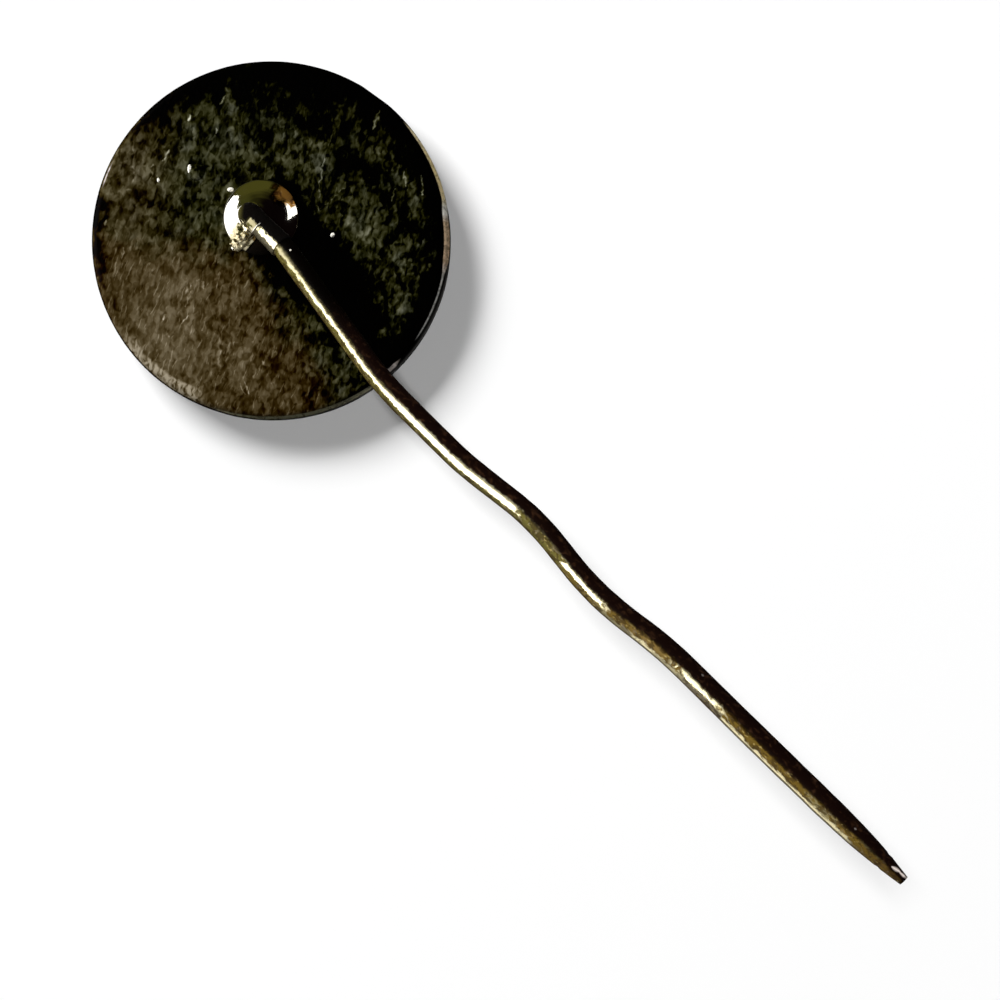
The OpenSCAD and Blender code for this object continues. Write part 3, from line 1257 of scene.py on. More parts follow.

# Some of these marks are painted glints, small highlights laid on as pale colour; the rest are scratches.
# Each row: from right and up to right and up in mm, half width in mm, strength.
SCRATCHES_AND_GLINTS = [
    (3.15, 5.45, 2.70, 4.15, 0.06, 0.13), (2.70, 4.15, 2.45, 2.80, 0.07, 0.25),
    (2.45, 2.80, 2.35, 1.45, 0.06, 0.23), (2.40, 1.55, 3.70, 2.55, 0.06, 0.13),
    (5.45, 6.45, 5.10, 5.50, 0.12, 0.36), (6.70, 3.50, 6.75, 2.60, 0.08, 0.28),
    (7.50, 3.15, 7.60, 2.25, 0.08, 0.40), (6.20, 2.55, 6.00, 1.95, 0.08, 0.25),
    (-1.25, -7.10, -1.10, -7.70, 0.07, 0.34), (-1.60, -7.15, -1.30, -7.70, 0.06, 0.25),
    (-2.50, -4.40, -2.55, -6.55, 0.16, 0.16), (-4.00, -2.20, -4.20, -3.30, 0.11, 0.25),
    (-4.10, -3.75, -4.40, -4.20, 0.09, 0.36), (-5.25, -3.70, -5.35, -3.95, 0.09, 0.43),
    (-5.20, -4.50, -5.05, -4.90, 0.09, 0.43), (-7.30, -0.40, -7.45, -0.95, 0.07, 0.23),
    (-3.95, 6.30, -4.10, 5.95, 0.11, 0.52), (-5.05, 4.45, -5.35, 3.95, 0.12, 0.36),
    (-6.85, 4.50, -6.80, 2.90, 0.10, 0.17), (-5.90, 3.75, -5.95, 3.05, 0.06, 0.25),
    (-2.25, 7.20, -2.50, 6.70, 0.11, 0.28), (-2.65, 5.60, -2.70, 5.35, 0.10, 0.38),
    (-8.15, 0.95, -8.25, 0.75, 0.11, 0.33), (-0.45, 4.95, -0.55, 4.60, 0.07, 0.21),
    (-3.40, -2.05, -3.30, -2.40, 0.12, 0.23), (-0.40, -6.05, -0.30, -6.25, 0.11, 0.23),
]
scratches_and_glints = place_marks(tree, warped(tree, coords, 0.30 * MM, 0.16 * MM), SCRATCHES_AND_GLINTS)
broken = plus(tree, 0.72, times(tree, grains, 3.0), clamp=True)
tone = plus(tree, tone, times(tree, scratches_and_glints, broken))
print("disc finish:", len(SCRATCHES_AND_GLINTS), "scratches")

# %% [markdown]
# At the lower left the face's edge is worn pale, in the same broken grain.

# %% Disc finish: worn edge
WORN_TONE = 0.50
worn_from = minus(tree, radius, times(tree, ragged, 0.15))
worn_edge = times(
    tree, soft_step(tree, worn_from, 8.30 * MM, 8.46 * MM),
    soft_step(tree, radius, 8.92 * MM, 8.84 * MM),
    soft_step(tree, picture_up, -4.4 * MM, -5.6 * MM),
    soft_step(tree, picture_right, -2.9 * MM, -4.0 * MM), broken)
tone = plus(tree, tone, times(tree, worn_edge, minus(tree, WORN_TONE, tone)))
print("disc finish:", len(tree.nodes), "nodes with the scratches and the worn edge")

# %% [markdown]
# The hue hangs on the zone too. Each tint is given as it looks at a tone of 0.1, and
# moves up or down with the tone. A Gamma node turns the seen values into the linear ones
# that a base colour needs, and the light that falls on the disc is allowed for.

# %% Disc finish: colour
TINT_TONE = 0.10
OLIVE = (0.110, 0.109, 0.044)
GREY_GREEN = (0.104, 0.106, 0.060)
BROWN = (0.136, 0.099, 0.028)
BLACKEST = (0.02, 0.018, 0.015)
EYE_GAMMA = 2.2
LIGHT_SHARE = 0.80
BROWN_AT_FAR_LEFT = 0.6

hue_noise = place_group(
    tree, flecks_group, coords, Size=1.3 * MM, Stretch=1.0, Share=0.50, Edge=0.12, Detail=2.0)
far_left = times(tree, soft_step(tree, picture_right, -3.5 * MM, -7.0 * MM), BROWN_AT_FAR_LEFT)
hue = mix_colour(tree, hue_noise, OLIVE, GREY_GREEN)
hue = mix_colour(tree, largest(tree, brown, far_left), hue, BROWN)
seen = vector_maths(tree, "ADD", hue, minus(tree, tone, TINT_TONE))
seen = vector_maths(tree, "MAXIMUM", seen, BLACKEST)
as_light = node(tree, "ShaderNodeGamma", gamma=EYE_GAMMA)
links.new(seen, as_light.inputs["Color"])
face = vector_maths(tree, "SCALE", as_light.outputs[0], scale=1.0 / LIGHT_SHARE)
print("disc finish:", len(tree.nodes), "nodes with the colour")

# %% [markdown]
# The rounded shoulder is rubbed back to bare metal on the needle's side, and in a few
# places elsewhere, and its palest stretches are painted glints: reflections laid on as
# colour. A colour ramp read by the direction round the disc tells where. Each row is a
# direction in the picture in degrees, the colour there and an amount that sets both the
# strength and the width of the line. The line stays on the shoulder: the side wall
# below it keeps its patina.

# %% Disc finish: where the shoulder is rubbed and glints are painted
# The palest colours in this table are painted glints: reflections laid on as colour over the bare metal.
RUBBED_AND_GLINTS = [
    (-112, (0.20, 0.19, 0.12), 0.0), (-104, (0.20, 0.19, 0.12), 0.25),
    (-91, (0.18, 0.18, 0.11), 0.50), (-56, (0.27, 0.26, 0.17), 0.55),
    (-50, (0.3, 0.25, 0.2), 0.0), (-48, (0.85, 0.75, 0.7), 0.6), (-45, (0.85, 0.75, 0.7), 0.6),
    (-43, (0.3, 0.25, 0.2), 0.0), (-35, (0.95, 0.93, 0.88), 0.0), (-31, (0.95, 0.93, 0.88), 0.16),
    (-12, (0.95, 0.93, 0.86), 0.20), (-7, (0.80, 0.56, 0.36), 1.0), (6, (0.80, 0.58, 0.36), 1.0),
    (8, (1.0, 0.97, 0.88), 1.0), (11, (1.0, 0.97, 0.85), 1.0), (13, (1.0, 0.82, 0.46), 0.90),
    (24, (1.0, 0.80, 0.38), 0.70), (37, (0.90, 0.76, 0.45), 0.40), (42, (0.2, 0.17, 0.1), 0.0),
    (153, (0.5, 0.4, 0.4), 0.0), (156, (0.9, 0.8, 0.8), 0.12), (161, (0.9, 0.8, 0.8), 0.12),
    (163, (0.5, 0.4, 0.4), 0.0),
]
HALF_TURN = 180
turn = maths(tree, "DIVIDE", maths(tree, "ARCTAN2", y, x), 2 * math.pi)
turn = maths(tree, "FRACT", plus(tree, turn, 0.5 + 45 / 360))
turn = times(tree, minus(tree, turn, 0.5), 2.0 * HALF_TURN)
rub_glint_colour, rub_glint_amount = colour_map(tree, turn, -HALF_TURN, HALF_TURN, RUBBED_AND_GLINTS)

# The line runs a little further out at the right and at the bottom.
RUB_GLINT_RADIUS, RUB_GLINT_HALF_WIDTH, RUB_GLINT_EDGE = 8.78 * MM, 0.035 * MM, 0.05 * MM
at_right = times(tree, soft_step(tree, turn, 8, 14), soft_step(tree, turn, 80, 60))
at_bottom = soft_step(tree, picture_up, -6.9 * MM, -7.3 * MM)
rub_glint_middle = plus(
    tree, RUB_GLINT_RADIUS, times(tree, rub_glint_amount, 0.02 * MM), times(tree, at_right, 0.11 * MM),
    times(tree, at_bottom, 0.09 * MM))
rub_glint_reach = plus(tree, RUB_GLINT_HALF_WIDTH, times(tree, rub_glint_amount, 0.115 * MM))
from_middle = maths(tree, "ABSOLUTE", minus(tree, radius, rub_glint_middle))
inside = maths(tree, "DIVIDE", minus(tree, rub_glint_reach, from_middle), RUB_GLINT_EDGE, clamp=True)
print("disc finish:", len(RUBBED_AND_GLINTS), "stops round the shoulder")

# %% [markdown]
# Rubbed metal with its painted glints covers the patina where the line runs and its
# breaks allow. It shines a little, and the flecks stand up from the rest as low relief.

# %% Disc finish: metal at the shoulder
BREAK_LOW = 0.40
breaks = place_group(tree, patches_group, coords, Size=0.35 * MM, Share=0.60, Edge=0.14)
rub_glint_strength = maths(tree, "MULTIPLY", rub_glint_amount, 5.0, clamp=True)
on_shoulder = soft_step(tree, z, disc_top - 0.52 * MM, disc_top - 0.38 * MM)
unbroken = plus(tree, BREAK_LOW, times(tree, breaks, 1 - BREAK_LOW))
rim_rub_and_glint = times(tree, inside, rub_glint_strength, unbroken, on_shoulder)
links.new(mix_colour(tree, rim_rub_and_glint, face, rub_glint_colour), shader.inputs["Base Color"])
links.new(times(tree, rim_rub_and_glint, 0.45), shader.inputs["Metallic"])
links.new(plus(tree, 0.34, times(tree, rim_rub_and_glint, 0.05)), shader.inputs["Roughness"])
shader.inputs["Specular IOR Level"].default_value = 0.02
bump = node(tree, "ShaderNodeBump", strength=0.25, distance=0.012 * MM)
links.new(noise_sum, bump.inputs["Height"])
links.new(bump.outputs[0], shader.inputs["Normal"])
print("disc finish:", len(tree.nodes), "nodes in all")

# %% [markdown]
# ## Finish of the needle
# The needle is drawn brass. Between its bends it is still bright. In the hollows, and
# nearly all over towards its tip, it has olive, orange-brown and dark red tarnish, and
# away from the light it is painted nearly black as shade. Colour ramps along the needle
# tell how much: one each for the wire's crest, its flank and its outer edge. A point
# attribute tells these apart, because the wire bends, and two more ramps tell where the
# flank and the edge start.

# %% Needle: which side a point is on
LIT_WAY = towards(225, 0)
MIDDLING_SIDE = 0.4
middles = KDTree(len(stations))
for i, (place, turn) in enumerate(stations):
    middles.insert(place, i)
middles.balance()


def store_side(piece, reach):
    """Stores on each point how far it faces the lit side of the nearest bit of wire.

    Points further off than the reach get one middling value.
    """
    values = piece.data.attributes.new("side", "FLOAT", "POINT")
    for vertex in piece.data.vertices:
        middle, number, distance = middles.find(vertex.co)
        arm = vertex.co - middle
        on_wire = 0 < arm.length < reach
        side = arm.normalized().dot(LIT_WAY) if on_wire else MIDDLING_SIDE
        values.data[vertex.index].value = side
    found = [v.value for v in values.data]
    print(piece.name, "side runs from", round(min(found), 2), "to", round(max(found), 2))


def read_side(tree):
    """The side that store_side left on the points."""
    attribute = node(tree, "ShaderNodeAttribute", attribute_name="side")
    return attribute.outputs["Fac"]


store_side(needle_wire, 1 * MM)

# %% Needle finish: tarnish along the wire
OLIVE_CRUST = (0.105, 0.088, 0.016)
STRAW = (0.22, 0.185, 0.085)
ORANGE_BROWN = (0.18, 0.115, 0.030)
GOLD_BROWN = (0.120, 0.074, 0.008)
UMBER = (0.050, 0.026, 0.006)
WARM_GREY = (0.145, 0.120, 0.072)
# Each row: place along Y in mm, colour of the tarnish, how thick it lies.
CREST_TARNISH = [
    (-1.5, OLIVE_CRUST, 0.80), (-3.5, OLIVE_CRUST, 0.90), (-9.3, OLIVE_CRUST, 0.86),
    (-10.9, OLIVE_CRUST, 0.05), (-17.6, OLIVE_CRUST, 0.05), (-18.4, STRAW, 0.90),
    (-20.8, STRAW, 0.92), (-21.5, OLIVE_CRUST, 0.80), (-23.7, OLIVE_CRUST, 0.80),
    (-24.4, ORANGE_BROWN, 0.98), (-26.3, ORANGE_BROWN, 0.97), (-27.2, UMBER, 0.98),
    (-36.3, UMBER, 0.98), (-37.3, GOLD_BROWN, 0.98), (-38.6, UMBER, 0.98),
    (-39.4, ORANGE_BROWN, 0.96), (-40.2, STRAW, 0.96), (-41.0, GOLD_BROWN, 0.98),
    (-41.4, UMBER, 0.98), (-42.4, UMBER, 0.98),
]
FLANK_TARNISH = [
    (-1.5, OLIVE_CRUST, 0.50), (-3.4, STRAW, 0.10), (-9.8, STRAW, 0.14), (-11.0, STRAW, 0.03),
    (-17.6, STRAW, 0.03), (-18.4, OLIVE_CRUST, 0.96), (-20.8, OLIVE_CRUST, 0.96),
    (-21.4, STRAW, 0.04), (-23.8, STRAW, 0.05), (-24.5, GOLD_BROWN, 0.97),
    (-27.0, ORANGE_BROWN, 0.96), (-28.2, GOLD_BROWN, 0.97), (-28.8, STRAW, 0.05),
    (-30.3, STRAW, 0.05), (-31.1, GOLD_BROWN, 0.98), (-36.2, GOLD_BROWN, 0.98),
    (-36.9, STRAW, 0.95), (-37.4, GOLD_BROWN, 0.97), (-38.0, STRAW, 0.92),
    (-38.5, ORANGE_BROWN, 0.95), (-39.0, GOLD_BROWN, 0.97), (-39.9, GOLD_BROWN, 0.98),
    (-41.2, UMBER, 0.97), (-42.4, UMBER, 0.98),
]
EDGE_TARNISH = [
    (-1.5, OLIVE_CRUST, 0.96), (-9.0, OLIVE_CRUST, 0.97), (-12.5, OLIVE_CRUST, 0.94),
    (-20.5, OLIVE_CRUST, 0.96), (-22.8, GOLD_BROWN, 0.97), (-24.1, STRAW, 0.92),
    (-25.4, STRAW, 0.80), (-25.8, STRAW, 0.05), (-26.6, STRAW, 0.05), (-27.2, STRAW, 0.55),
    (-28.2, STRAW, 0.60), (-28.8, WARM_GREY, 0.96), (-30.9, WARM_GREY, 0.96),
    (-31.5, STRAW, 0.06), (-36.5, STRAW, 0.05), (-38.2, STRAW, 0.20), (-38.9, WARM_GREY, 0.80),
    (-39.6, GOLD_BROWN, 0.98), (-41.2, GOLD_BROWN, 0.98), (-41.5, UMBER, 0.98), (-42.4, UMBER, 0.98),
]
# Each row: place along Y in mm, how far round the wire a band starts, from 0 on the
# crest to 1 at the edge. These ramps need no colour.
NO_TINT = (0, 0, 0)
FLANK_STARTS = [
    (-1.5, NO_TINT, 0.31), (-10.0, NO_TINT, 0.28), (-11.0, NO_TINT, 0.12), (-42.4, NO_TINT, 0.20),
]
EDGE_STARTS = [
    (-1.5, NO_TINT, 0.54), (-10.0, NO_TINT, 0.57), (-11.0, NO_TINT, 0.64), (-21.2, NO_TINT, 0.62),
    (-21.8, NO_TINT, 0.52), (-23.8, NO_TINT, 0.52), (-24.6, NO_TINT, 0.67), (-28.2, NO_TINT, 0.71),
    (-28.8, NO_TINT, 0.55), (-30.8, NO_TINT, 0.55), (-31.4, NO_TINT, 0.72), (-36.4, NO_TINT, 0.74),
    (-37.5, NO_TINT, 0.70), (-39.2, NO_TINT, 0.70), (-39.8, NO_TINT, 0.80), (-42.4, NO_TINT, 0.80),
]
print("stops along the needle:", len(CREST_TARNISH), len(FLANK_TARNISH), len(EDGE_TARNISH))

# %% [markdown]
# The place along the wire and the side are both read a little off, by noise, so that
# the bands have ragged ends and borders. From the crest outwards, each band takes over
# the colour and the thickness from the one before.

# %% Needle finish: bands
FIRST_STOP, LAST_STOP = -42.6, -1.0
SIDE_LEAN = 0.5
FLANK_SOFT, EDGE_SOFT = 0.14, 0.07

needle_finish, tree, shader = new_finish("tarnished_brass")
links = tree.links
coords, x, y, z = object_place(tree)
side = read_side(tree)
drawn = turned_vector(tree, -90)
patch = place_group(tree, patches_group, coords, Size=0.55 * MM, Share=0.62, Edge=0.22)
spot = place_group(
    tree, flecks_group, drawn, Size=0.26 * MM, Stretch=1.6, Share=0.48, Edge=0.16, Detail=2.0)
fine = place_group(tree, flecks_group, drawn, "Level", Size=0.15 * MM, Stretch=2.2, Detail=2.0)
shift = minus(tree, patch, 0.5)
place_mm = plus(tree, maths(tree, "DIVIDE", y, MM), plus(tree, shift, times(tree, side, SIDE_LEAN)))
side_here = plus(tree, side, weighed(tree, (shift, 0.10), (fine, 0.32)))


def along(stops):
    """The colour and the amount that a table gives at this place along the needle."""
    return colour_map(tree, place_mm, FIRST_STOP, LAST_STOP, stops)


in_flank = soft_step(tree, minus(tree, side_here, along(FLANK_STARTS)[1]), -FLANK_SOFT, FLANK_SOFT)
in_edge = soft_step(tree, minus(tree, side_here, along(EDGE_STARTS)[1]), -EDGE_SOFT, EDGE_SOFT)
tint, amount = along(CREST_TARNISH)
for band, table in ((in_flank, FLANK_TARNISH), (in_edge, EDGE_TARNISH)):
    band_tint, band_amount = along(table)
    tint = mix_colour(tree, band, tint, band_tint)
    amount = plus(tree, amount, times(tree, minus(tree, band_amount, amount), band))
cover = plus(tree, 0.96, times(tree, rest_of(tree, spot), 0.12))
amount = maths(tree, "MULTIPLY", amount, cover, clamp=True)
print("needle finish:", len(tree.nodes), "nodes with the bands")

# %% [markdown]
# Tarnish on brass is never one colour. Red spots, dark golden shades and small golden
# glints are laid over it, and all of it lies over the bright brass as thick as the
# bands say.

# %% Needle finish: mottling
DARK_RED = (0.045, 0.016, 0.008)
GOLD_SHADE = (0.028, 0.015, 0.002)
GOLD_GLINT = (0.46, 0.35, 0.12)
BRIGHT_BRASS = (0.88, 0.80, 0.50)
mottle = place_group(
    tree, flecks_group, drawn, Size=0.25 * MM, Stretch=1.6, Share=0.50, Edge=0.06, Detail=2.0)
glints = place_group(
    tree, flecks_group, drawn, Size=0.14 * MM, Stretch=1.8, Share=0.36, Edge=0.07, Detail=1.0)
# Each row: a mask and the colour that it lays over the tarnish.
MOTTLING = (
    (times(tree, spot, patch, 0.75), DARK_RED), (times(tree, mottle, 0.70), GOLD_SHADE),
    (times(tree, glints, 0.50), GOLD_GLINT),
)
for mask, colour in MOTTLING:
    tint = mix_colour(tree, mask, tint, colour)
tint = mix_colour(tree, amount, BRIGHT_BRASS, tint)
print("needle finish:", len(tree.nodes), "nodes with the mottling")

# %% [markdown]
# The side away from the light is painted nearly black as shade, brown in spots and
# blackest near the foot, and the wire's outermost rim is umber. The tip has one bright
# nick where the file slipped, painted pale as a highlight, and two small painted
# highlights lie further up.

# %% Needle finish: painted shade on the far side, and nicks
SHADED_SIDE_BLACK = (0.005, 0.0018, 0.0012)
SHADED_SIDE_BROWN = (0.030, 0.013, 0.006)
SHADE_PITCH_BLACK = (0.0010, 0.0006, 0.0004)
PALE_NICK_HIGHLIGHT = (0.78, 0.68, 0.62)
# Each row: from right and up to right and up in mm, half width in mm, strength.
# The first two rows are the nick at the tip, painted pale as a highlight; the last two are small painted
# highlights.
NICKS_AND_HIGHLIGHTS = [
    (29.15, -29.54, 29.52, -29.77, 0.11, 1.1), (29.50, -29.79, 29.84, -30.09, 0.085, 1.1),
    (27.48, -27.82, 27.56, -27.88, 0.07, 0.22), (20.71, -20.98, 20.80, -21.06, 0.07, 0.15),
]
# Away from the light the tint is painted shade: near black, blackest near the foot.
lit = soft_step(tree, side_here, -0.03, 0.36)
rim_dark = soft_step(tree, side, 0.88, 0.96)
near_foot = soft_step(tree, y, -7.5 * MM, -4.0 * MM)
nicked_and_highlit = place_marks(tree, coords, NICKS_AND_HIGHLIGHTS)
shaded_side_tint = mix_colour(tree, times(tree, spot, patch), SHADED_SIDE_BLACK, SHADED_SIDE_BROWN)
shaded_side_tint = mix_colour(tree, near_foot, shaded_side_tint, SHADE_PITCH_BLACK)
tint = mix_colour(tree, times(tree, rim_dark, 0.75), tint, UMBER)
tint = mix_colour(tree, lit, shaded_side_tint, tint)
links.new(mix_colour(tree, nicked_and_highlit, tint, PALE_NICK_HIGHLIGHT), shader.inputs["Base Color"])
print("needle finish:", len(tree.nodes), "nodes with the far side")

# %% [markdown]
# Crust doesn't shine: where it lies, and on the far side painted as shade, the surface is less metallic
# and rougher.

# %% Needle finish: shine
BRASS_ROUGHNESS, CRUST_AND_SHADE_ROUGHNESS, ROOT_ROUGHNESS = 0.13, 0.32, 0.05
crust_and_shade = largest(tree, times(tree, amount, 0.95), times(tree, rim_dark, 0.7))
crust_and_shade = largest(tree, times(tree, crust_and_shade, lit), times(tree, rest_of(tree, lit), 0.85))
crust_and_shade = largest(tree, crust_and_shade, nicked_and_highlit)
links.new(rest_of(tree, crust_and_shade), shader.inputs["Metallic"])
near_root = soft_step(tree, y, -10.5 * MM, -8.0 * MM)
rough = plus(tree, BRASS_ROUGHNESS, times(tree, crust_and_shade, CRUST_AND_SHADE_ROUGHNESS),
             times(tree, near_root, ROOT_ROUGHNESS))
links.new(rough, shader.inputs["Roughness"])
shader.inputs["Specular IOR Level"].default_value = 0.1
bump = node(tree, "ShaderNodeBump", strength=0.5, distance=0.01 * MM)
links.new(times(tree, amount, spot), bump.inputs["Height"])
links.new(bump.outputs[0], shader.inputs["Normal"])
print("needle finish:", len(tree.nodes), "nodes in all")

# %% [markdown]
# ## Finish of the foot
# The solder is paler than the brass and polished by handling. It has an orange-brown
# stain on its upper right, and where it ran down in lumps it is duller and spotted with
# cream, olive and brown. The elbow is brass under a coat of solder: olive where it bends
# over, with a flank painted grey as a dim reflection and a far side painted nearly black
# as shade. The button's skirt below the elbow is painted nearly black too, as shade.
#
# Each of these has a mask. Masks that meet are parts of one whole, so that no bright
# seam shows between them.

# %% Foot finish: places
LUMPY_PLACE = (-0.95 * MM, 0.85 * MM, disc_top + 0.85 * MM)
STAIN_PLACE = (2.02 * MM, 0.98 * MM, disc_top + 0.5 * MM)
CREASE_PLACE = (-0.10 * MM, 0.66 * MM, disc_top + 2.4 * MM)
COLLAR_PLACE = (0.12 * MM, 1.42 * MM, disc_top + 1.05 * MM)
ROOT_PLACE = ROOT_LUMP + Vector((-0.04, 0.04, 0.14)) * MM
STAIN_UNEVENNESS = 0.25 * MM


def stain_mask(tree, coords, place, patch, wide, narrow):
    """A ragged stain round a place: 1 inside the narrow radius, 0 past the wide one."""
    away = vector_maths(tree, "DISTANCE", coords, place)
    return soft_step(tree, plus(tree, away, times(tree, patch, STAIN_UNEVENNESS)), wide, narrow)


store_side(solder_foot, 0.8 * MM)
foot_finish, tree, shader = new_finish("bright_solder")
links = tree.links
coords, x, y, z = object_place(tree)
patch = place_group(tree, patches_group, coords, Size=0.5 * MM, Share=0.60, Edge=0.25)
bits = place_group(
    tree, flecks_group, coords, Size=0.32 * MM, Stretch=1.2, Share=0.50, Edge=0.16, Detail=1.0)
other_bits = place_group(
    tree, flecks_group, turned_vector(tree, 70, (1 * MM, 0, 0)), Size=0.36 * MM, Stretch=1.6,
    Share=0.46, Edge=0.16, Detail=1.0)
side_here = plus(tree, read_side(tree), times(tree, minus(tree, patch, 0.5), 0.14))
stained = stain_mask(tree, coords, STAIN_PLACE, patch, 1.00 * MM, 0.30 * MM)
creased = stain_mask(tree, coords, CREASE_PLACE, patch, 0.55 * MM, 0.30 * MM)
lumpy = stain_mask(tree, coords, LUMPY_PLACE, patch, 0.95 * MM, 0.65 * MM)
collar = stain_mask(tree, coords, COLLAR_PLACE, patch, 0.95 * MM, 0.78 * MM)
print("foot finish:", len(tree.nodes), "nodes for places")

# %% [markdown]
# The elbow is divided at its bend into a bent and a straight part, and the straight part
# at the lip. Its far side is painted dark as shade along both.

# %% Foot finish: parts of the elbow
on_wire = soft_step(tree, z, disc_top + 1.0 * MM, disc_top + 1.15 * MM)
off_root = soft_step(
    tree, vector_maths(tree, "DISTANCE", coords, ROOT_PLACE), 0.28 * MM, 0.38 * MM)
past_lip = soft_step(tree, y, 0.55 * MM, 0.40 * MM)
straight_part = soft_step(tree, y, 1.15 * MM, 0.95 * MM)
bent_part = rest_of(tree, straight_part)
elbow_right = times(tree, minus(tree, x, y), DIAGONAL)
elbow_shade = times(tree, soft_step(tree, elbow_right, -1.42 * MM, -1.02 * MM), off_root)
olive_part = times(tree, bent_part, off_root, on_wire)
# The far side of the elbow is painted dark as shade.
far_side_shade = plus(
    tree, times(tree, soft_step(tree, side_here, 0.20, 0.03), straight_part),
    times(tree, elbow_shade, bent_part))
far_side_shade = times(tree, far_side_shade, on_wire)
# The flank that faces the light is painted grey as a dim reflection, and loses its shine.
flank_reflection = times(tree, soft_step(tree, side_here, 0.54, 0.62), past_lip)
collar = times(tree, collar, on_wire)
print("foot finish:", len(tree.nodes), "nodes with the elbow")

# %% [markdown]
# The lumps' mottled coat also runs over the wire as far as the lip, and below them the
# button's skirt is painted dark as shade under the elbow.

# %% Foot finish: lumps and the skirt's painted shade
lumps_on_wire = times(
    tree, on_wire, rest_of(tree, past_lip), soft_step(tree, side_here, 0.50, 0.64))
lumpy = times(
    tree, largest(tree, lumpy, lumps_on_wire), off_root,
    soft_step(tree, y, 0.25 * MM, 0.45 * MM))
# The skirt under the elbow is painted dark as shade.
skirt_shade = times(
    tree, soft_step(tree, y, 0.74 * MM, 0.52 * MM), soft_step(tree, x, 0.9 * MM, 0.4 * MM),
    rest_of(tree, on_wire), rest_of(tree, lumpy))
print("foot finish:", len(tree.nodes), "nodes with the lumps")

# %% [markdown]
# Where a bright metal turns into a dull coat, a mix of the two halfway would shine in
# the coat's colour or look chalky. So the colour changes first and the shine is lost
# after it, along the same mask.

# %% Foot finish: colours
SOLDER = (0.93, 0.90, 0.80)
STAIN = (0.14, 0.066, 0.011)
STAIN_TAN = (0.26, 0.16, 0.05)
STAIN_DARK = (0.045, 0.018, 0.004)
LUMP_CREAM = (0.78, 0.70, 0.46)
LUMP_OLIVE = (0.095, 0.085, 0.020)
LUMP_BROWN = (0.17, 0.10, 0.02)
CREASE_BROWN = (0.34, 0.30, 0.17)
FLANK_REFLECTION_GREY = (0.105, 0.092, 0.055)
ELBOW_OLIVE = (0.050, 0.044, 0.010)
SKIRT_SHADE_BROWN = (0.0050, 0.0030, 0.0012)
TURNS_DULL = 0.4


def leading(mask):
    """The part of a mask that the colour follows, ahead of the loss of shine."""
    return soft_step(tree, mask, 0.0, TURNS_DULL)


mosaic = mix_colour(tree, bits, LUMP_CREAM, LUMP_OLIVE)
mosaic = mix_colour(tree, other_bits, mosaic, LUMP_BROWN)
stain_tint = mix_colour(tree, times(tree, other_bits, 0.6), STAIN, STAIN_TAN)
stain_tint = mix_colour(tree, bits, stain_tint, STAIN_DARK)
# Each row: a mask and the colour that it lays over those above it.
COATS = (
    (on_wire, BRIGHT_BRASS), (creased, CREASE_BROWN), (leading(lumpy), mosaic),
    (leading(collar), LUMP_OLIVE), (leading(skirt_shade), SKIRT_SHADE_BROWN),
    (leading(olive_part), ELBOW_OLIVE), (far_side_shade, SHADE_PITCH_BLACK), (leading(flank_reflection), FLANK_REFLECTION_GREY),
    (leading(stained), stain_tint),
)
colour = SOLDER
for mask, coat in COATS:
    colour = mix_colour(tree, mask, colour, coat)
links.new(colour, shader.inputs["Base Color"])
print("foot finish:", len(COATS), "coats over the solder")

# %% [markdown]
# The shine goes along the same masks, and the surface grows rougher with its loss.

# %% Foot finish: shine
# Each row: a mask and how much of the shine is lost there.
DULLNESS = (
    (stained, 0.85), (flank_reflection, 0.85), (far_side_shade, 0.95), (olive_part, 0.90), (collar, 0.70),
    (lumpy, 0.80), (skirt_shade, 0.95),
)
dull = None
for mask, loss in DULLNESS:
    lost = times(tree, soft_step(tree, mask, TURNS_DULL, 1.0), loss)
    dull = lost if dull is None else largest(tree, dull, lost)
links.new(rest_of(tree, dull), shader.inputs["Metallic"])
POLISHED = 0.055
ROUGHER = (
    (patch, 0.03), (on_wire, 0.07), (creased, 0.22), (dull, 0.32), (far_side_shade, 0.30),
    (olive_part, 0.25),
)
links.new(plus(tree, POLISHED, *(times(tree, mask, more) for mask, more in ROUGHER)),
          shader.inputs["Roughness"])
shader.inputs["Specular IOR Level"].default_value = 0.1
print("foot finish:", len(tree.nodes), "nodes in all")

# %% [markdown]
# ## Finish of the beads and the lip
# Both are spare solder. The beads were never polished, so they are pale and only
# slightly metallic. The lip is bare metal that darkens to a crease brown further down.
# One function makes both finishes.

# %% Bead and lip finish
DULL_SOLDER = (0.75, 0.70, 0.52)
SPATTER_ROUGHNESS = 0.33


def spatter_finish(name, metallic, low_tint):
    """Pale solder with a tint low down, as metallic as it is told."""
    material, tree, shader = new_finish(name)
    coords, x, y, z = object_place(tree)
    patch = place_group(tree, patches_group, coords, Size=0.3 * MM, Share=0.55, Edge=0.25)
    low = soft_step(tree, z, disc_top + 2.45 * MM, disc_top + 1.7 * MM)
    pale = mix_colour(tree, patch, SOLDER, DULL_SOLDER)
    tree.links.new(mix_colour(tree, low, pale, low_tint), shader.inputs["Base Color"])
    shader.inputs["Metallic"].default_value = metallic
    rough = plus(tree, SPATTER_ROUGHNESS, times(tree, patch, 0.1))
    tree.links.new(rough, shader.inputs["Roughness"])
    print(name, "has", len(tree.nodes), "nodes")
    return material


bead_finish = spatter_finish("solder_bead", 0.35, SOLDER)
lip_finish = spatter_finish("solder_lip_metal", 1.0, CREASE_BROWN)
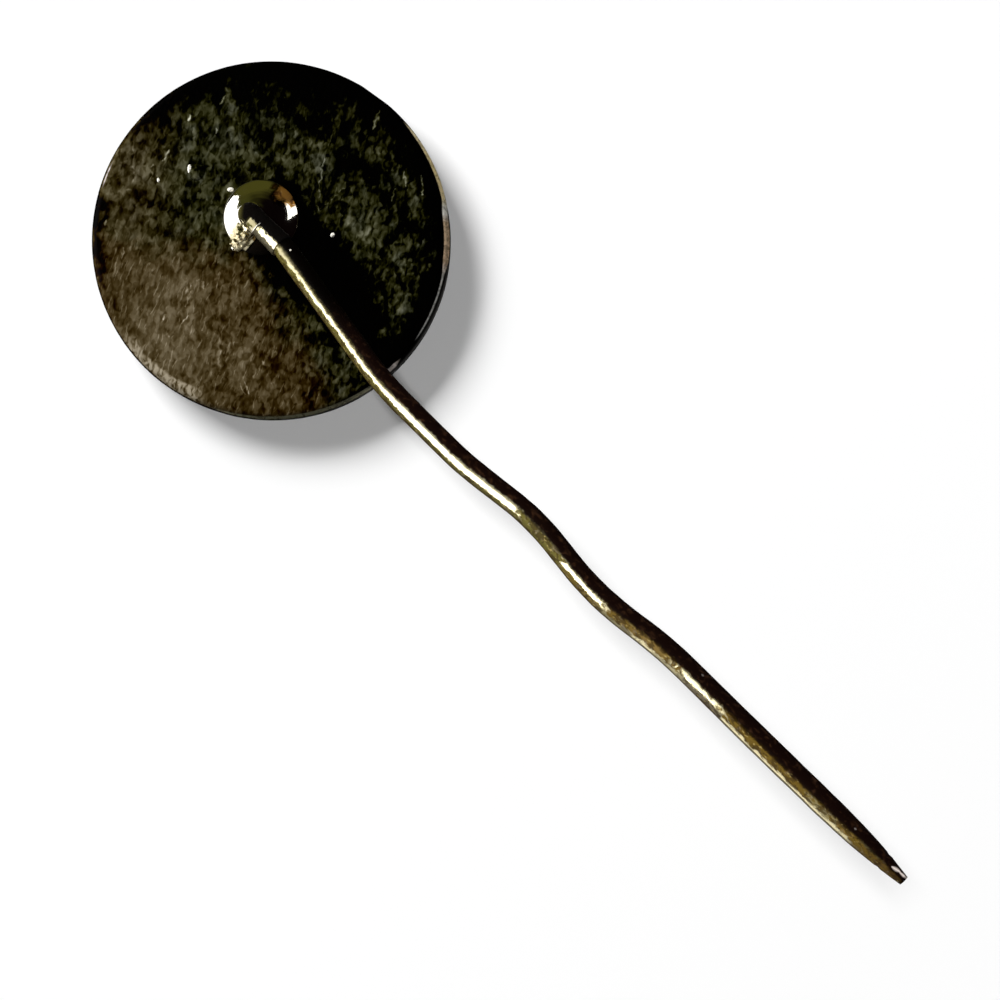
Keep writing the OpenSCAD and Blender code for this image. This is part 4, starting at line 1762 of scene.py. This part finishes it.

# %% [markdown]
# ## Dress the frame
# Each piece rides on the frame's one body and gets its finish.
# The disc, the wire and the foot stand for the solids that they were modelled over.

# %% Dress
DRESS = [
    (disc_plate, disc_finish, "disc_metal", "badge_disc"),
    (needle_wire, needle_finish, "needle_metal", "needle"),
    (solder_foot, foot_finish, "needle_metal", "needle"),
    (solder_beads, bead_finish, "needle_metal", None),
    (solder_lip, lip_finish, "needle_metal", None),
    (blister, disc_finish, "disc_metal", None),
]
for piece, finish, slot_name, stands_for in DRESS:
    piece.data.materials.clear()
    piece.data.materials.append(finish)
    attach(piece, "root")
    if stands_for:
        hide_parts(stands_for)
    print(piece.name, "stands for", stands_for)

# %% [markdown]
# In the photo the disc throws one soft shadow and the needle a fainter one close by, so
# each lamp is blocked by its own piece: the low floor lamp by the disc and the top lamp
# by the needle and its foot. The front panel lights the needle alone, and the right panel
# the foot and the spare solder, because the other pieces show no such highlight.

# %% What each light meets
def collection_of(name, pieces):
    """A collection for light linking; it isn't part of the scene itself."""
    made = bpy.data.collections.new(name)
    for piece in pieces:
        made.objects.link(piece)
    return made


floor_lamp.light_linking.blocker_collection = collection_of("floor_lamp_blockers", [disc_plate])
top_lamp.light_linking.blocker_collection = collection_of(
    "top_lamp_blockers", [needle_wire, solder_foot])
front_panel.light_linking.receiver_collection = collection_of("front_panel_lights", [needle_wire])
right_panel.light_linking.receiver_collection = collection_of(
    "right_panel_lights", [solder_foot, solder_beads, solder_lip])

# %% [markdown]
# The frame's solid needle shows how closely the dressed one follows it. A tree of its
# faces gives the distance from each point of the new wire.

# %% Compare with the frame
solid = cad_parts["needle"]
tree_of_faces = BVHTree.FromPolygons(
    [v.co for v in solid.data.vertices], [p.vertices[:] for p in solid.data.polygons])
gaps = [tree_of_faces.find_nearest(v.co)[3] for v in needle_wire.data.vertices]
print("wire to solid in mm: mean", round(sum(gaps) / len(gaps) / MM, 4), "most", round(max(gaps) / MM, 4))

# %% [markdown]
# Last, the dressed model's box is printed. The second has to lie inside the first.

# %% The dressed model's box
low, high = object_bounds()
print("visual box in mm:", [round(1000 * v, 2) for v in (*low, *high)])
